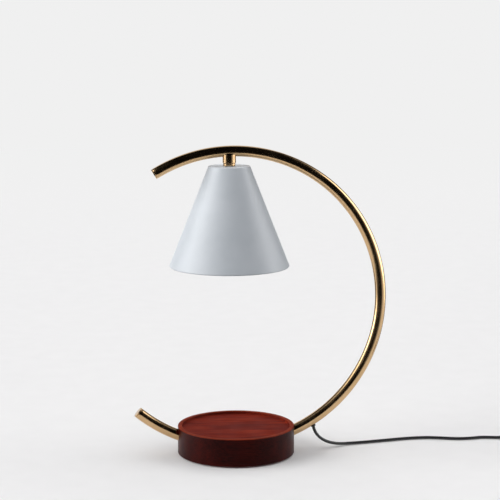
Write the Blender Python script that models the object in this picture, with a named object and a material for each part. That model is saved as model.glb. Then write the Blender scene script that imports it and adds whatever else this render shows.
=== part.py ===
"""Warmer lamp: a wooden dish, a brass tube bent into an open circle, and a reflector bulb in a cone.

Metres, +Z up. The origin is the middle of the foot pad's underside, and the tube's circle lies in the XZ plane.
"""

import math

import bmesh
import bpy
import numpy as np
from mathutils import Matrix, Vector

# Driving dimensions
BASE_RADIUS = 0.065
BASE_HEIGHT = 0.032
ARC_RADIUS = 0.1645
ARC_CENTRE_X = -0.0025
ARC_TOP_ANGLE = math.radians(121.4)
ARC_STUB_ANGLE = math.radians(-130.1)
TUBE_RADIUS = 0.006
TUBE_WALL = 0.001
SHADE_AXIS_X = -0.007
SHADE_TOP_RADIUS = 0.0232
SHADE_BOTTOM_RADIUS = 0.066
SHADE_HEIGHT = 0.111
CORD_RADIUS = 0.0017

# Fits and cuts
CLEARANCE = 0.0003
OVERRUN = 0.002
MERGE_DISTANCE = 0.000001
SHARP_ANGLE = math.radians(35)

# Foot: pad, cover plate and their screws
PAD_THICKNESS = 0.0015
PAD_SETBACK = 0.001
PLATE_MARGIN = 0.009
PLATE_THICKNESS = 0.001
PLATE_RADIUS = BASE_RADIUS - PLATE_MARGIN
PLATE_LOW = PAD_THICKNESS + CLEARANCE
PLATE_HIGH = PLATE_LOW + PLATE_THICKNESS
COVER_SCREW_RADIUS = 0.0013
COVER_SCREW_LENGTH = 0.0105
COVER_HEAD_RADIUS = 0.0027
SCREW_HEAD_HEIGHT = 0.0008
COVER_SCREW_COUNT = 3
TUBE_SCREW_RADIUS = 0.002
TUBE_SCREW_LENGTH = 0.0088
TUBE_HEAD_RADIUS = 0.0036
TUBE_SCREW_ANGLE = math.radians(9.6)
INSERT_WALL = 0.0009
INSERT_LENGTH = 0.005
INSERT_RADIUS = TUBE_SCREW_RADIUS + CLEARANCE + INSERT_WALL

# Dish
DISH_DEPTH = 0.003
RIM_WIDTH = 0.0048
RIM_ROUND = 0.001
DISH_FILLET = 0.0014
DISH_EDGE_ROUND = 0.0007
WOOD_LIFT = 0.001
WOOD_CHAMFER = 0.0008
POCKET_LEDGE = 0.006
RIB_HALF_WIDTH = 0.012
BALLAST_HEIGHT = 0.0155
RELIEF_POCKET_RADIUS = 0.014
POCKET_RADIUS = PLATE_RADIUS - POCKET_LEDGE
PLATE_SEAT = PLATE_HIGH + CLEARANCE
POCKET_HIGH = PLATE_SEAT + BALLAST_HEIGHT + CLEARANCE
DISH_FLOOR = BASE_HEIGHT - DISH_DEPTH
COVER_SCREW_CIRCLE = (POCKET_RADIUS + PLATE_RADIUS) / 2

# Tube
TUBE_LIFT = 0.0006
ARC_CENTRE_Z = PLATE_SEAT + TUBE_LIFT + TUBE_RADIUS + ARC_RADIUS
BORE_RADIUS = TUBE_RADIUS - TUBE_WALL
END_PLUG_CAP = 0.0012
END_PLUG_STEM = 0.0035
END_PLUG_ROUND = 0.0004
ARC_STEPS = 38
TUBE_SIDES = 14

# Cord's way out of the tube
GROMMET_ANGLE = math.radians(-57.74)
GROMMET_LEAN = math.radians(15)
GROMMET_WALL = 0.0008
GROMMET_PROUD = 0.0012
GROMMET_INSIDE = 0.0014
CORD_BORE = CORD_RADIUS + CLEARANCE
GROMMET_RADIUS = CORD_BORE + GROMMET_WALL

# Collar and the threaded rod that carries the head
BOSS_RADIUS = 0.0073
BOSS_HEIGHT = 0.008
BOSS_SADDLE = 0.0012
SPACER_RADIUS = 0.0067
SPACER_HEIGHT = 0.0029
NIPPLE_RADIUS = 0.0048
NIPPLE_WALL = 0.0013
NIPPLE_INSIDE = 0.001
NIPPLE_LENGTH = 0.0232
TUBE_AXIS_OVER_SHADE = ARC_CENTRE_Z + math.sqrt(ARC_RADIUS**2 - (SHADE_AXIS_X - ARC_CENTRE_X) ** 2)
BOSS_HIGH = TUBE_AXIS_OVER_SHADE - TUBE_RADIUS + BOSS_SADDLE
BOSS_LOW = BOSS_HIGH - BOSS_HEIGHT
SPACER_HIGH = BOSS_LOW - CLEARANCE
SPACER_LOW = SPACER_HIGH - SPACER_HEIGHT
NIPPLE_HIGH = TUBE_AXIS_OVER_SHADE - BORE_RADIUS + NIPPLE_INSIDE
NIPPLE_LOW = NIPPLE_HIGH - NIPPLE_LENGTH
NIPPLE_HOLE = NIPPLE_RADIUS + CLEARANCE

# Shade
SHADE_WALL = 0.001
SHADE_ROUND = 0.0012
SHADE_BEAD_RADIUS = 0.0011
SHADE_HIGH = SPACER_LOW - CLEARANCE
SHADE_LOW = SHADE_HIGH - SHADE_HEIGHT

# Washer, nuts, bracket, sleeves and screws under the shade's top
WASHER_RADIUS = 0.0095
WASHER_THICKNESS = 0.0008
NUT_RADIUS = 0.0081
NUT_HEIGHT = 0.003
BRACKET_LENGTH = 0.031
BRACKET_WIDTH = 0.015
BRACKET_THICKNESS = 0.0012
BRACKET_CORNER = 0.004
HOLDER_SCREW_OFFSET = 0.0118
HOLDER_SCREW_RADIUS = 0.0015
HOLDER_SCREW_DEPTH = 0.005
HOLDER_HEAD_RADIUS = 0.0027
HOLDER_HEAD_HEIGHT = 0.0016
SLEEVE_RADIUS = 0.0029
SLEEVE_LENGTH = 0.0105
WASHER_HIGH = SHADE_HIGH - SHADE_WALL - CLEARANCE
WASHER_LOW = WASHER_HIGH - WASHER_THICKNESS
SHADE_NUT_HIGH = WASHER_LOW - CLEARANCE
SHADE_NUT_LOW = SHADE_NUT_HIGH - NUT_HEIGHT
BRACKET_HIGH = SHADE_NUT_LOW - CLEARANCE
BRACKET_LOW = BRACKET_HIGH - BRACKET_THICKNESS
BRACKET_NUT_HIGH = BRACKET_LOW - CLEARANCE
BRACKET_NUT_LOW = BRACKET_NUT_HIGH - NUT_HEIGHT
SLEEVE_HIGH = BRACKET_LOW - CLEARANCE
SLEEVE_LOW = SLEEVE_HIGH - SLEEVE_LENGTH

# Lamp holder
HOLDER_LENGTH = 0.031
HOLDER_WIDTH = 0.0195
HOLDER_CORNER = 0.005
HOLDER_HEIGHT = 0.015
HOLDER_HIGH = SLEEVE_LOW - CLEARANCE
HOLDER_LOW = HOLDER_HIGH - HOLDER_HEIGHT
PIN_CIRCLE = 0.005
PIN_STEM_RADIUS = 0.0014
PIN_HEAD_RADIUS = 0.0024
PIN_HEAD_HEIGHT = 0.0021
PIN_SHOULDER = 0.0004
SLOT_LEDGE = 0.003
SLOT_DEPTH = 0.0105
TWIST = math.radians(20)
SLOT_SHELF = HOLDER_LOW + SLOT_LEDGE
SLOT_ROOF = HOLDER_LOW + SLOT_DEPTH
PIN_LOW = HOLDER_LOW
PIN_HEAD_LOW = SLOT_SHELF + CLEARANCE
PIN_HEAD_HIGH = PIN_HEAD_LOW + PIN_HEAD_HEIGHT
TERMINAL_RADIUS = 0.0023
WIRE_RADIUS = 0.0008
WIRE_HOLE = WIRE_RADIUS + CLEARANCE
WIRE_REACH = 0.0025
WIRE_SPREAD = 0.0011

# Bulb, as offsets below the holder
CAP_RADIUS = 0.0102
CAP_EDGE = 0.0006
CAP_LENGTH = 0.0165
CAP_TAPER = 0.0045
NECK_RADIUS = 0.0125
MOUTH_RADIUS = 0.025
REFLECTOR_LENGTH = 0.0265
REFLECTOR_WALL = 0.0012
REFLECTOR_RIM = 0.003
REFLECTOR_STEPS = 6
LENS_THICKNESS = 0.0018
LENS_CROWN = 0.0009
LENS_CROWN_SHARES = ((0.0, 1.0), (0.5, 0.75), (1.0, 0.0))
LENS_INSET = 0.0009
BURNER_RADIUS = 0.0042
BURNER_LENGTH = 0.0155
BURNER_STEM_RADIUS = 0.0023
BURNER_STEM_LENGTH = 0.0045
CAP_HIGH = HOLDER_LOW - CLEARANCE
CAP_LOW = CAP_HIGH - CAP_LENGTH
NECK_HIGH = CAP_LOW - CLEARANCE
RIM_HIGH = NECK_HIGH - REFLECTOR_LENGTH
MOUTH_LOW = RIM_HIGH - REFLECTOR_RIM

# In-line dimmer
DIMMER_X = 0.38
DIMMER_Y = 0.022
DIMMER_LENGTH = 0.05
DIMMER_WIDTH = 0.022
DIMMER_HEIGHT = 0.015
DIMMER_CORNER = 0.006
DIMMER_WALL = 0.0015
DIMMER_MIDDLE = DIMMER_HEIGHT / 2
WHEEL_RADIUS = 0.01
WHEEL_NOTCH = 0.0005
WHEEL_TEETH = 22
WHEEL_THICKNESS = 0.0036
WHEEL_LOW = 0.0074
WHEEL_OFFSET_X = 0.004
WHEEL_PROUD = 0.003
WHEEL_GAP = 0.0005
SPINDLE_RADIUS = 0.0015
SPINDLE_REACH = 0.0005
POT_RADIUS = 0.005
POT_HEIGHT = 0.0026
BOARD_LENGTH = 0.029
BOARD_WIDTH = 0.016
BOARD_THICKNESS = 0.0012
BOARD_STAND = 0.0011
STAND_RADIUS = 0.002
POST_RADIUS = 0.0027
POST_X = 0.0182
POST_Y = 0.0063
DIMMER_SCREW_RADIUS = 0.0011
DIMMER_HEAD_RADIUS = 0.0018
DIMMER_HEAD_HEIGHT = 0.0012
DIMMER_HEAD_SINK = 0.0004
DIMMER_SCREW_LENGTH = 0.0095
CAPACITOR_SIZE = (0.0055, 0.009, 0.0055)
CAPACITOR_X = -0.0105
CORD_ENTRY = 0.0035
RELIEF_LENGTH = 0.02
RELIEF_THICK_RADIUS = 0.0034
RELIEF_THIN_RADIUS = 0.0026
WHEEL_X = DIMMER_X + WHEEL_OFFSET_X
WHEEL_Y = DIMMER_Y - DIMMER_WIDTH / 2 - WHEEL_PROUD + WHEEL_RADIUS
BOARD_LOW = DIMMER_WALL + BOARD_STAND + CLEARANCE
BOARD_HIGH = BOARD_LOW + BOARD_THICKNESS

# Coil, tie and plug
COIL_X = 0.37
COIL_Y = -0.03485
COIL_MEAN_RADIUS = 0.0204
COIL_TURNS = 10.5
COIL_LAYERS = 4
COIL_PITCH = 0.00385
COIL_LIFT = 0.0011
TURN_POINTS = 24
TIE_WIDTH = 0.008
TIE_THICKNESS = 0.0008
TIE_SLACK = 0.0009
PLUG_SEAT = 0.425
PLUG_LENGTH = 0.026
PLUG_WIDTH = 0.022
PLUG_NECK = 0.012
PLUG_WAIST_SHARE = 0.35
PLUG_HEIGHT = 0.013
PLUG_ROUND = 0.0016
BLADE_SPACING = 0.0127
BLADE_WIDTH = 0.0063
BLADE_THICKNESS = 0.0015
BLADE_LENGTH = 0.0165
BLADE_ROOT = 0.007
PLUG_MIDDLE = PLUG_HEIGHT / 2

# Surfaces: linear colour, roughness, metallic
BRASS = ((0.62, 0.37, 0.13), 0.18, 1.0)
LACQUERED_WOOD = ((0.09, 0.012, 0.006), 0.32, 0.0)
PAINTED_METAL = ((0.72, 0.75, 0.76), 0.45, 0.0)
STEEL = ((0.5, 0.5, 0.5), 0.35, 1.0)
IRON = ((0.12, 0.12, 0.12), 0.6, 1.0)
FOAM = ((0.015, 0.015, 0.015), 0.9, 0.0)
BLACK_VINYL = ((0.012, 0.012, 0.012), 0.5, 0.0)
CERAMIC = ((0.75, 0.73, 0.68), 0.4, 0.0)
GLASS = ((0.8, 0.82, 0.85), 0.1, 0.0)
BROWN_WIRE = ((0.1, 0.03, 0.01), 0.5, 0.0)
BLUE_WIRE = ((0.01, 0.06, 0.3), 0.5, 0.0)
BOARD_GREEN = ((0.01, 0.12, 0.04), 0.5, 0.0)


def material(name, surface):
    """A plain Principled surface from a colour, a roughness and a metallic value."""
    colour, roughness, metallic = surface
    made = bpy.data.materials.new(name + "_surface")
    made.use_nodes = True
    shader = made.node_tree.nodes["Principled BSDF"]
    shader.inputs["Base Color"].default_value = (*colour, 1.0)
    shader.inputs["Roughness"].default_value = roughness
    shader.inputs["Metallic"].default_value = metallic
    return made


def place(name, data, surface):
    """Link mesh or curve data into the scene as a named piece with its own material."""
    data.materials.append(material(name, surface))
    piece = bpy.data.objects.new(name, data)
    bpy.context.scene.collection.objects.link(piece)
    return piece


def to_mesh(name, shape):
    """Close a bmesh, point its faces out and turn it into a mesh that is shaded smooth between sharp edges."""
    bmesh.ops.remove_doubles(shape, verts=shape.verts, dist=MERGE_DISTANCE)
    bmesh.ops.recalc_face_normals(shape, faces=shape.faces)
    mesh = bpy.data.meshes.new(name)
    shape.to_mesh(mesh)
    shape.free()
    mesh.shade_smooth()
    mesh.set_sharp_from_angle(angle=SHARP_ANGLE)
    return mesh


def add(name, shape, surface, at=(0, 0, 0), turn=(0, 0, 0), parent=None):
    """Make a bmesh a piece of the lamp, placed and turned under its parent."""
    piece = place(name, to_mesh(name, shape), surface)
    piece.location = at
    piece.rotation_euler = turn
    piece.parent = parent
    return piece


def axis(name, at):
    """An empty that stands on the axis which a group of pieces shares."""
    made = bpy.data.objects.new(name, None)
    made.location = at
    bpy.context.scene.collection.objects.link(made)
    return made


def carve(piece, operation, shapes):
    """Change a piece by shapes in its own frame. They may not touch each other."""
    number = len(piece.modifiers) + 1
    helper = bpy.data.objects.new(f"{piece.name}_helper_{number}", to_mesh("helper", joined(*shapes)))
    bpy.context.scene.collection.objects.link(helper)
    helper.parent = piece
    helper.hide_render = True
    helper.display_type = "WIRE"
    modifier = piece.modifiers.new(f"{operation.lower()}_{number}", "BOOLEAN")
    modifier.operation = operation
    modifier.object = helper


def cut(piece, *shapes):
    """Take shapes out of a piece."""
    carve(piece, "DIFFERENCE", shapes)


def fuse(piece, *shapes):
    """Grow a piece by shapes that stand on it."""
    carve(piece, "UNION", shapes)


def joined(*shapes):
    """Several separate bmeshes in one."""
    whole = bmesh.new()
    for shape in shapes:
        mesh = bpy.data.meshes.new("part")
        shape.to_mesh(mesh)
        shape.free()
        whole.from_mesh(mesh)
        bpy.data.meshes.remove(mesh)
    return whole


def moved(shape, x=0.0, y=0.0, z=0.0):
    """The same bmesh, shifted."""
    bmesh.ops.translate(shape, verts=shape.verts, vec=(x, y, z))
    return shape


def turned_by(shape, matrix):
    """The same bmesh, transformed by a matrix."""
    bmesh.ops.transform(shape, matrix=matrix, verts=shape.verts)
    return shape


def arc(centre, radius, start, end, steps):
    """Points on a circle in a plane, from one angle to another."""
    angles = np.linspace(start, end, steps + 1)
    return [(centre[0] + radius * math.cos(a), centre[1] + radius * math.sin(a)) for a in angles]


def turned(outline, steps):
    """Spin an outline of (radius, height) points round +Z. Points on the axis close it there."""
    shape = bmesh.new()
    points = [shape.verts.new((radius, 0, height)) for radius, height in outline]
    edges = []
    for first, second in zip(points, points[1:] + points[:1]):
        if first.co.x > 0 or second.co.x > 0:
            edges.append(shape.edges.new((first, second)))
    profile = points + edges
    bmesh.ops.spin(
        shape, geom=profile, cent=(0, 0, 0), axis=(0, 0, 1), angle=math.tau, steps=steps, use_merge=True
    )
    bmesh.ops.remove_doubles(shape, verts=shape.verts, dist=MERGE_DISTANCE)
    return shape


def ring(outer, inner, low, high, steps):
    """A plain tube or washer."""
    return turned([(inner, low), (outer, low), (outer, high), (inner, high)], steps)


def skin(shape, near, far):
    """Four-sided faces between two loops of as many points."""
    for index in range(len(near)):
        after = (index + 1) % len(near)
        shape.faces.new((near[index], near[after], far[after], far[index]))


def prism(outline, low, high):
    """A closed outline in the XY plane, raised from low to high."""
    shape = bmesh.new()
    floor = [shape.verts.new((x, y, low)) for x, y in outline]
    roof = [shape.verts.new((x, y, high)) for x, y in outline]
    shape.faces.new(floor[::-1])
    shape.faces.new(roof)
    skin(shape, floor, roof)
    return shape


def cylinder(radius, low, high, steps, x=0.0, y=0.0):
    """A round bar along Z."""
    return prism(arc((x, y), radius, 0, math.tau, steps)[:-1], low, high)


def bars(places, radius, low, high, steps=10):
    """Round bars along Z at several places, as one shape."""
    return joined(*[cylinder(radius, low, high, steps, x, y) for x, y in places])


def rounded_rectangle(length, width, corner, steps=3):
    """An outline in the XY plane, its corners rounded."""
    across, along = length / 2 - corner, width / 2 - corner
    centres = [(across, along), (-across, along), (-across, -along), (across, -along)]
    outline = []
    for number, centre in enumerate(centres):
        start = number * math.pi / 2
        outline += arc(centre, corner, start, start + math.pi / 2, steps)
    return outline


def block(size, x=0.0, y=0.0, low=0.0):
    """A box whose underside is at low."""
    across, along = size[0] / 2, size[1] / 2
    outline = [(x - across, y - along), (x + across, y - along), (x + across, y + along), (x - across, y + along)]
    return prism(outline, low, low + size[2])


def kidney(half_width, start, end, low, high, steps=4):
    """A curved slot on the pin circle, round at both ends."""
    far = (PIN_CIRCLE * math.cos(end), PIN_CIRCLE * math.sin(end))
    near = (PIN_CIRCLE * math.cos(start), PIN_CIRCLE * math.sin(start))
    outline = arc((0, 0), PIN_CIRCLE + half_width, start, end, steps)
    outline += arc(far, half_width, end, end + math.pi, steps)[1:-1]
    outline += arc((0, 0), PIN_CIRCLE - half_width, end, start, steps)
    outline += arc(near, half_width, start + math.pi, start + math.tau, steps)[1:-1]
    return prism(outline, low, high)


def screw(shank, length, head, head_height, steps=8):
    """A pan head screw that points up, the underside of its head at height zero."""
    tip = shank / 2
    outline = [(0, -head_height), (head - head_height / 2, -head_height), (head, -head_height / 2), (head, 0)]
    outline += [(shank, 0), (shank, length - tip), (tip, length), (0, length)]
    return turned(outline, steps)


def arc_point(angle, offset=0.0):
    """A point of the tube's centreline, or one offset outwards from it."""
    radius = ARC_RADIUS + offset
    return Vector((ARC_CENTRE_X + radius * math.cos(angle), 0, ARC_CENTRE_Z + radius * math.sin(angle)))


def bent(radii):
    """One or two round walls swept along the tube's circle, closed at both ends."""
    shape = bmesh.new()
    sides = np.linspace(0, math.tau, TUBE_SIDES + 1)[:-1]
    walls = []
    for radius in radii:
        wall = []
        for angle in np.linspace(ARC_STUB_ANGLE, ARC_TOP_ANGLE, ARC_STEPS + 1):
            circle = []
            for side in sides:
                spot = arc_point(angle, radius * math.cos(side))
                spot.y = radius * math.sin(side)
                circle.append(shape.verts.new(spot))
            wall.append(circle)
        walls.append(wall)
        for near, far in zip(wall, wall[1:]):
            skin(shape, near, far)
    for tip in (0, -1):
        if len(walls) > 1:
            skin(shape, walls[0][tip], walls[1][tip])
        else:
            shape.faces.new(walls[0][tip])
    return shape


def tube_room():
    """The space that the tube takes with its clearance, to cut from what it passes through."""
    return bent([TUBE_RADIUS + CLEARANCE])


def smooth(points, samples):
    """A smooth curve through points, as samples points for each stretch between two of them."""
    known = np.array([tuple(point) for point in points])
    ends = np.vstack([2 * known[0] - known[1], known, 2 * known[-1] - known[-2]])
    share = np.arange(samples)[:, None] / samples
    square, cube = share**2, share**3
    found = []
    for before, here, there, after in zip(ends, ends[1:], ends[2:], ends[3:]):
        leaving, arriving = (there - before) / 2, (after - here) / 2
        found.append(here * (2 * cube - 3 * square + 1) + there * (3 * square - 2 * cube))
        found[-1] += leaving * (cube - 2 * square + share) + arriving * (cube - square)
    return np.vstack(found + [known[-1:]])


def flex(name, points, radius, level, surface):
    """A round cord or wire along points, with closed ends."""
    curve = bpy.data.curves.new(name, "CURVE")
    curve.dimensions = "3D"
    curve.bevel_depth = radius
    curve.bevel_resolution = level
    curve.use_fill_caps = True
    spline = curve.splines.new("POLY")
    spline.points.add(len(points) - 1)
    for spot, point in zip(spline.points, points):
        spot.co = (*point, 1.0)
    return place(name, curve, surface)


def length_of(points):
    """The length of a line through points."""
    return float(np.linalg.norm(np.diff(points, axis=0), axis=1).sum())


def cover_screw_places():
    """Where the wood screws stand, clear of the tube."""
    start = math.pi / 2
    return arc((0, 0), COVER_SCREW_CIRCLE, start, start + math.tau, COVER_SCREW_COUNT)[:-1]


def tube_screw_places():
    """Where the two machine screws meet the tube from below."""
    reach = ARC_RADIUS * math.sin(TUBE_SCREW_ANGLE)
    return [(ARC_CENTRE_X - reach, 0), (ARC_CENTRE_X + reach, 0)]


def mirrored(outline):
    """An outline turned half round."""
    return [(-x, -y) for x, y in outline]


def d_outline(radius, flat, steps=12):
    """The part of a circle beyond a straight line."""
    start = math.asin(flat / radius)
    return arc((0, 0), radius, start, math.pi - start, steps)


def base_dish():
    """Turned wooden dish with two ballast pockets and a curved hole for the tube."""
    inner = BASE_RADIUS - RIM_WIDTH
    outline = [(0, PLATE_SEAT), (PLATE_RADIUS + CLEARANCE, PLATE_SEAT), (PLATE_RADIUS + CLEARANCE, WOOD_LIFT)]
    outline += [(BASE_RADIUS - WOOD_CHAMFER, WOOD_LIFT), (BASE_RADIUS, WOOD_LIFT + WOOD_CHAMFER)]
    outline += arc((BASE_RADIUS - RIM_ROUND, BASE_HEIGHT - RIM_ROUND), RIM_ROUND, 0, math.pi / 2, 2)
    edge = (inner + DISH_EDGE_ROUND, BASE_HEIGHT - DISH_EDGE_ROUND)
    outline += arc(edge, DISH_EDGE_ROUND, math.pi / 2, math.pi, 1)
    outline += arc((inner - DISH_FILLET, DISH_FLOOR + DISH_FILLET), DISH_FILLET, 0, -math.pi / 2, 2)
    outline += [(0, DISH_FLOOR)]
    dish = add("base_dish", turned(outline, 40), LACQUERED_WOOD)
    low = PLATE_SEAT - OVERRUN
    pocket = d_outline(POCKET_RADIUS, RIB_HALF_WIDTH)
    cut(dish, prism(pocket, low, POCKET_HIGH), prism(mirrored(pocket), low, POCKET_HIGH))
    cut(dish, tube_room())
    under_tube = ARC_CENTRE_Z - ARC_RADIUS
    cut(dish, cylinder(RELIEF_POCKET_RADIUS, low, under_tube, 20, ARC_CENTRE_X))
    screw_end = PLATE_LOW + COVER_SCREW_LENGTH + CLEARANCE
    cut(dish, bars(cover_screw_places(), COVER_SCREW_RADIUS + CLEARANCE, low, screw_end))
    cut(dish, bars(tube_screw_places(), INSERT_RADIUS + CLEARANCE, low, under_tube))


def ballast():
    """Two iron weights, one in each pocket."""
    outline = d_outline(POCKET_RADIUS - CLEARANCE, RIB_HALF_WIDTH + CLEARANCE)
    high = PLATE_SEAT + BALLAST_HEIGHT
    add("ballast_back", prism(outline, PLATE_SEAT, high), IRON)
    add("ballast_front", prism(mirrored(outline), PLATE_SEAT, high), IRON)


def foot():
    """Cover plate, its screws, the tube's screws and inserts, and the soft pad."""
    below, above = -OVERRUN, PLATE_HIGH + OVERRUN
    plate = add("cover_plate", cylinder(PLATE_RADIUS, PLATE_LOW, PLATE_HIGH, 40), STEEL)
    cut(plate, bars(cover_screw_places(), COVER_SCREW_RADIUS + CLEARANCE, below, above))
    cut(plate, bars(tube_screw_places(), TUBE_SCREW_RADIUS + CLEARANCE, below, above))
    pad = add("foot_pad", cylinder(PLATE_RADIUS - PAD_SETBACK, 0, PAD_THICKNESS, 40), FOAM)
    cut(pad, bars(cover_screw_places(), COVER_HEAD_RADIUS + CLEARANCE, below, above))
    cut(pad, bars(tube_screw_places(), TUBE_HEAD_RADIUS + CLEARANCE, below, above))
    seat = PLATE_LOW - CLEARANCE
    for number, (x, y) in enumerate(cover_screw_places(), 1):
        shape = screw(COVER_SCREW_RADIUS, COVER_SCREW_LENGTH, COVER_HEAD_RADIUS, SCREW_HEAD_HEIGHT)
        add(f"cover_screw_{number}", shape, STEEL, (x, y, seat))
    wall = ARC_CENTRE_Z - ARC_RADIUS * math.cos(TUBE_SCREW_ANGLE) - TUBE_RADIUS
    for side, (x, y) in zip(("left", "right"), tube_screw_places()):
        shape = screw(TUBE_SCREW_RADIUS, TUBE_SCREW_LENGTH, TUBE_HEAD_RADIUS, SCREW_HEAD_HEIGHT)
        add(f"tube_screw_{side}", shape, STEEL, (x, y, seat))
        shape = ring(INSERT_RADIUS, TUBE_SCREW_RADIUS + CLEARANCE, 0, INSERT_LENGTH, 12)
        add(f"tube_insert_{side}", shape, STEEL, (x, y, wall))


def grommet_frame():
    """The bush's own frame: its -Z runs out of the tube, its origin is on the tube's centreline."""
    return Matrix.Translation(arc_point(GROMMET_ANGLE)) @ Matrix.Rotation(-GROMMET_LEAN, 4, "Y")


def grommet_span():
    """How far along its axis the bush starts and ends, from the tube's centreline."""
    outward = Vector((math.sin(GROMMET_LEAN), 0, -math.cos(GROMMET_LEAN)))
    radial = Vector((math.cos(GROMMET_ANGLE), 0, math.sin(GROMMET_ANGLE)))
    surface = TUBE_RADIUS / outward.dot(radial)
    return surface - TUBE_WALL - GROMMET_INSIDE, surface + GROMMET_PROUD


def arc_tube():
    """The bent tube, bored, with holes for the bush, the head's rod and the two inserts."""
    tube = add("arc_tube", bent([TUBE_RADIUS, BORE_RADIUS]), BRASS)
    cut(tube, cylinder(NIPPLE_HOLE, SPACER_LOW, TUBE_AXIS_OVER_SHADE, 16, SHADE_AXIS_X))
    inwards = cylinder(GROMMET_RADIUS + CLEARANCE, -2 * TUBE_RADIUS, 0, 16)
    cut(tube, turned_by(inwards, grommet_frame()))
    cut(tube, bars(tube_screw_places(), INSERT_RADIUS + CLEARANCE, PLATE_LOW, PLATE_LOW + 2 * TUBE_RADIUS, 12))


def end_plugs():
    """Two brass plugs, each with a cap as wide as the tube, that close its ends."""
    stem = BORE_RADIUS - 2 * CLEARANCE
    high = CLEARANCE + END_PLUG_CAP
    outline = [(0, -END_PLUG_STEM), (stem, -END_PLUG_STEM), (stem, CLEARANCE), (TUBE_RADIUS, CLEARANCE)]
    outline += [(TUBE_RADIUS, high - END_PLUG_ROUND), (TUBE_RADIUS - END_PLUG_ROUND, high), (0, high)]
    turns = {"top": (ARC_TOP_ANGLE, -ARC_TOP_ANGLE), "stub": (ARC_STUB_ANGLE, math.pi - ARC_STUB_ANGLE)}
    for name, (angle, turn) in turns.items():
        add(f"end_plug_{name}", turned(outline, 14), BRASS, arc_point(angle), (0, turn, 0))


def grommet():
    """Rubber bush where the cord leaves the tube's underside."""
    start, end = grommet_span()
    edge = CLEARANCE
    outline = [(CORD_BORE, -end), (GROMMET_RADIUS - edge, -end), (GROMMET_RADIUS, -end + edge)]
    outline += [(GROMMET_RADIUS, -start), (CORD_BORE, -start)]
    add("grommet", turned(outline, 14), BLACK_VINYL, arc_point(GROMMET_ANGLE), (0, -GROMMET_LEAN, 0))


def collar(head):
    """Brass collar under the tube, the ring below it, and the hollow threaded rod through both."""
    boss = add("boss_collar", ring(BOSS_RADIUS, NIPPLE_HOLE, BOSS_LOW, BOSS_HIGH, 28), BRASS, parent=head)
    cut(boss, moved(tube_room(), -SHADE_AXIS_X))
    add("spacer_ring", ring(SPACER_RADIUS, NIPPLE_HOLE, SPACER_LOW, SPACER_HIGH, 28), BRASS, parent=head)
    rod = ring(NIPPLE_RADIUS, NIPPLE_RADIUS - NIPPLE_WALL, NIPPLE_LOW, NIPPLE_HIGH, 14)
    add("nipple", rod, STEEL, parent=head)


def shade(head):
    """Spun cone with a rolled bead round its mouth and a hole for the rod."""
    slope = math.atan2(SHADE_BOTTOM_RADIUS - SHADE_TOP_RADIUS, SHADE_HEIGHT)
    bead = (SHADE_BOTTOM_RADIUS - SHADE_BEAD_RADIUS, SHADE_LOW + SHADE_BEAD_RADIUS)
    shoulder = (SHADE_TOP_RADIUS - SHADE_ROUND, SHADE_HIGH - SHADE_ROUND)
    outline = arc(bead, SHADE_BEAD_RADIUS, math.pi + slope, math.tau + slope, 5)
    outline += arc(shoulder, SHADE_ROUND, slope, math.pi / 2, 2)
    outline += [(NIPPLE_HOLE, SHADE_HIGH), (NIPPLE_HOLE, SHADE_HIGH - SHADE_WALL)]
    under = SHADE_WALL / math.cos(slope)
    up = 2 * SHADE_BEAD_RADIUS
    outline += [(SHADE_TOP_RADIUS - under, SHADE_HIGH - SHADE_WALL)]
    outline += [(SHADE_BOTTOM_RADIUS - under - up * math.tan(slope), SHADE_LOW + up)]
    add("shade", turned(outline, 44), PAINTED_METAL, parent=head)


def clamp_stack(head):
    """Washer and nut that clamp the shade, the bracket below them and its own nut."""
    add("lock_washer", ring(WASHER_RADIUS, NIPPLE_HOLE, WASHER_LOW, WASHER_HIGH, 20), STEEL, parent=head)
    spans = {"shade_nut": (SHADE_NUT_LOW, SHADE_NUT_HIGH), "bracket_nut": (BRACKET_NUT_LOW, BRACKET_NUT_HIGH)}
    for name, (low, high) in spans.items():
        nut = add(name, cylinder(NUT_RADIUS, low, high, 6), STEEL, parent=head)
        cut(nut, cylinder(NIPPLE_HOLE, low - OVERRUN, high + OVERRUN, 16))
    plan = rounded_rectangle(BRACKET_LENGTH, BRACKET_WIDTH, BRACKET_CORNER)
    bracket = add("holder_bracket", prism(plan, BRACKET_LOW, BRACKET_HIGH), STEEL, parent=head)
    low, high = BRACKET_LOW - OVERRUN, BRACKET_HIGH + OVERRUN
    cut(bracket, cylinder(NIPPLE_HOLE, low, high, 16))
    cut(bracket, bars(holder_screw_places(), HOLDER_SCREW_RADIUS + CLEARANCE, low, high))


def holder_screw_places():
    """Where the two screws of the lamp holder stand, from the head's axis."""
    return [(-HOLDER_SCREW_OFFSET, 0), (HOLDER_SCREW_OFFSET, 0)]


def pin_places():
    """Where the bulb's two pins stand, from the head's axis."""
    return [(0, -PIN_CIRCLE), (0, PIN_CIRCLE)]


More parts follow.
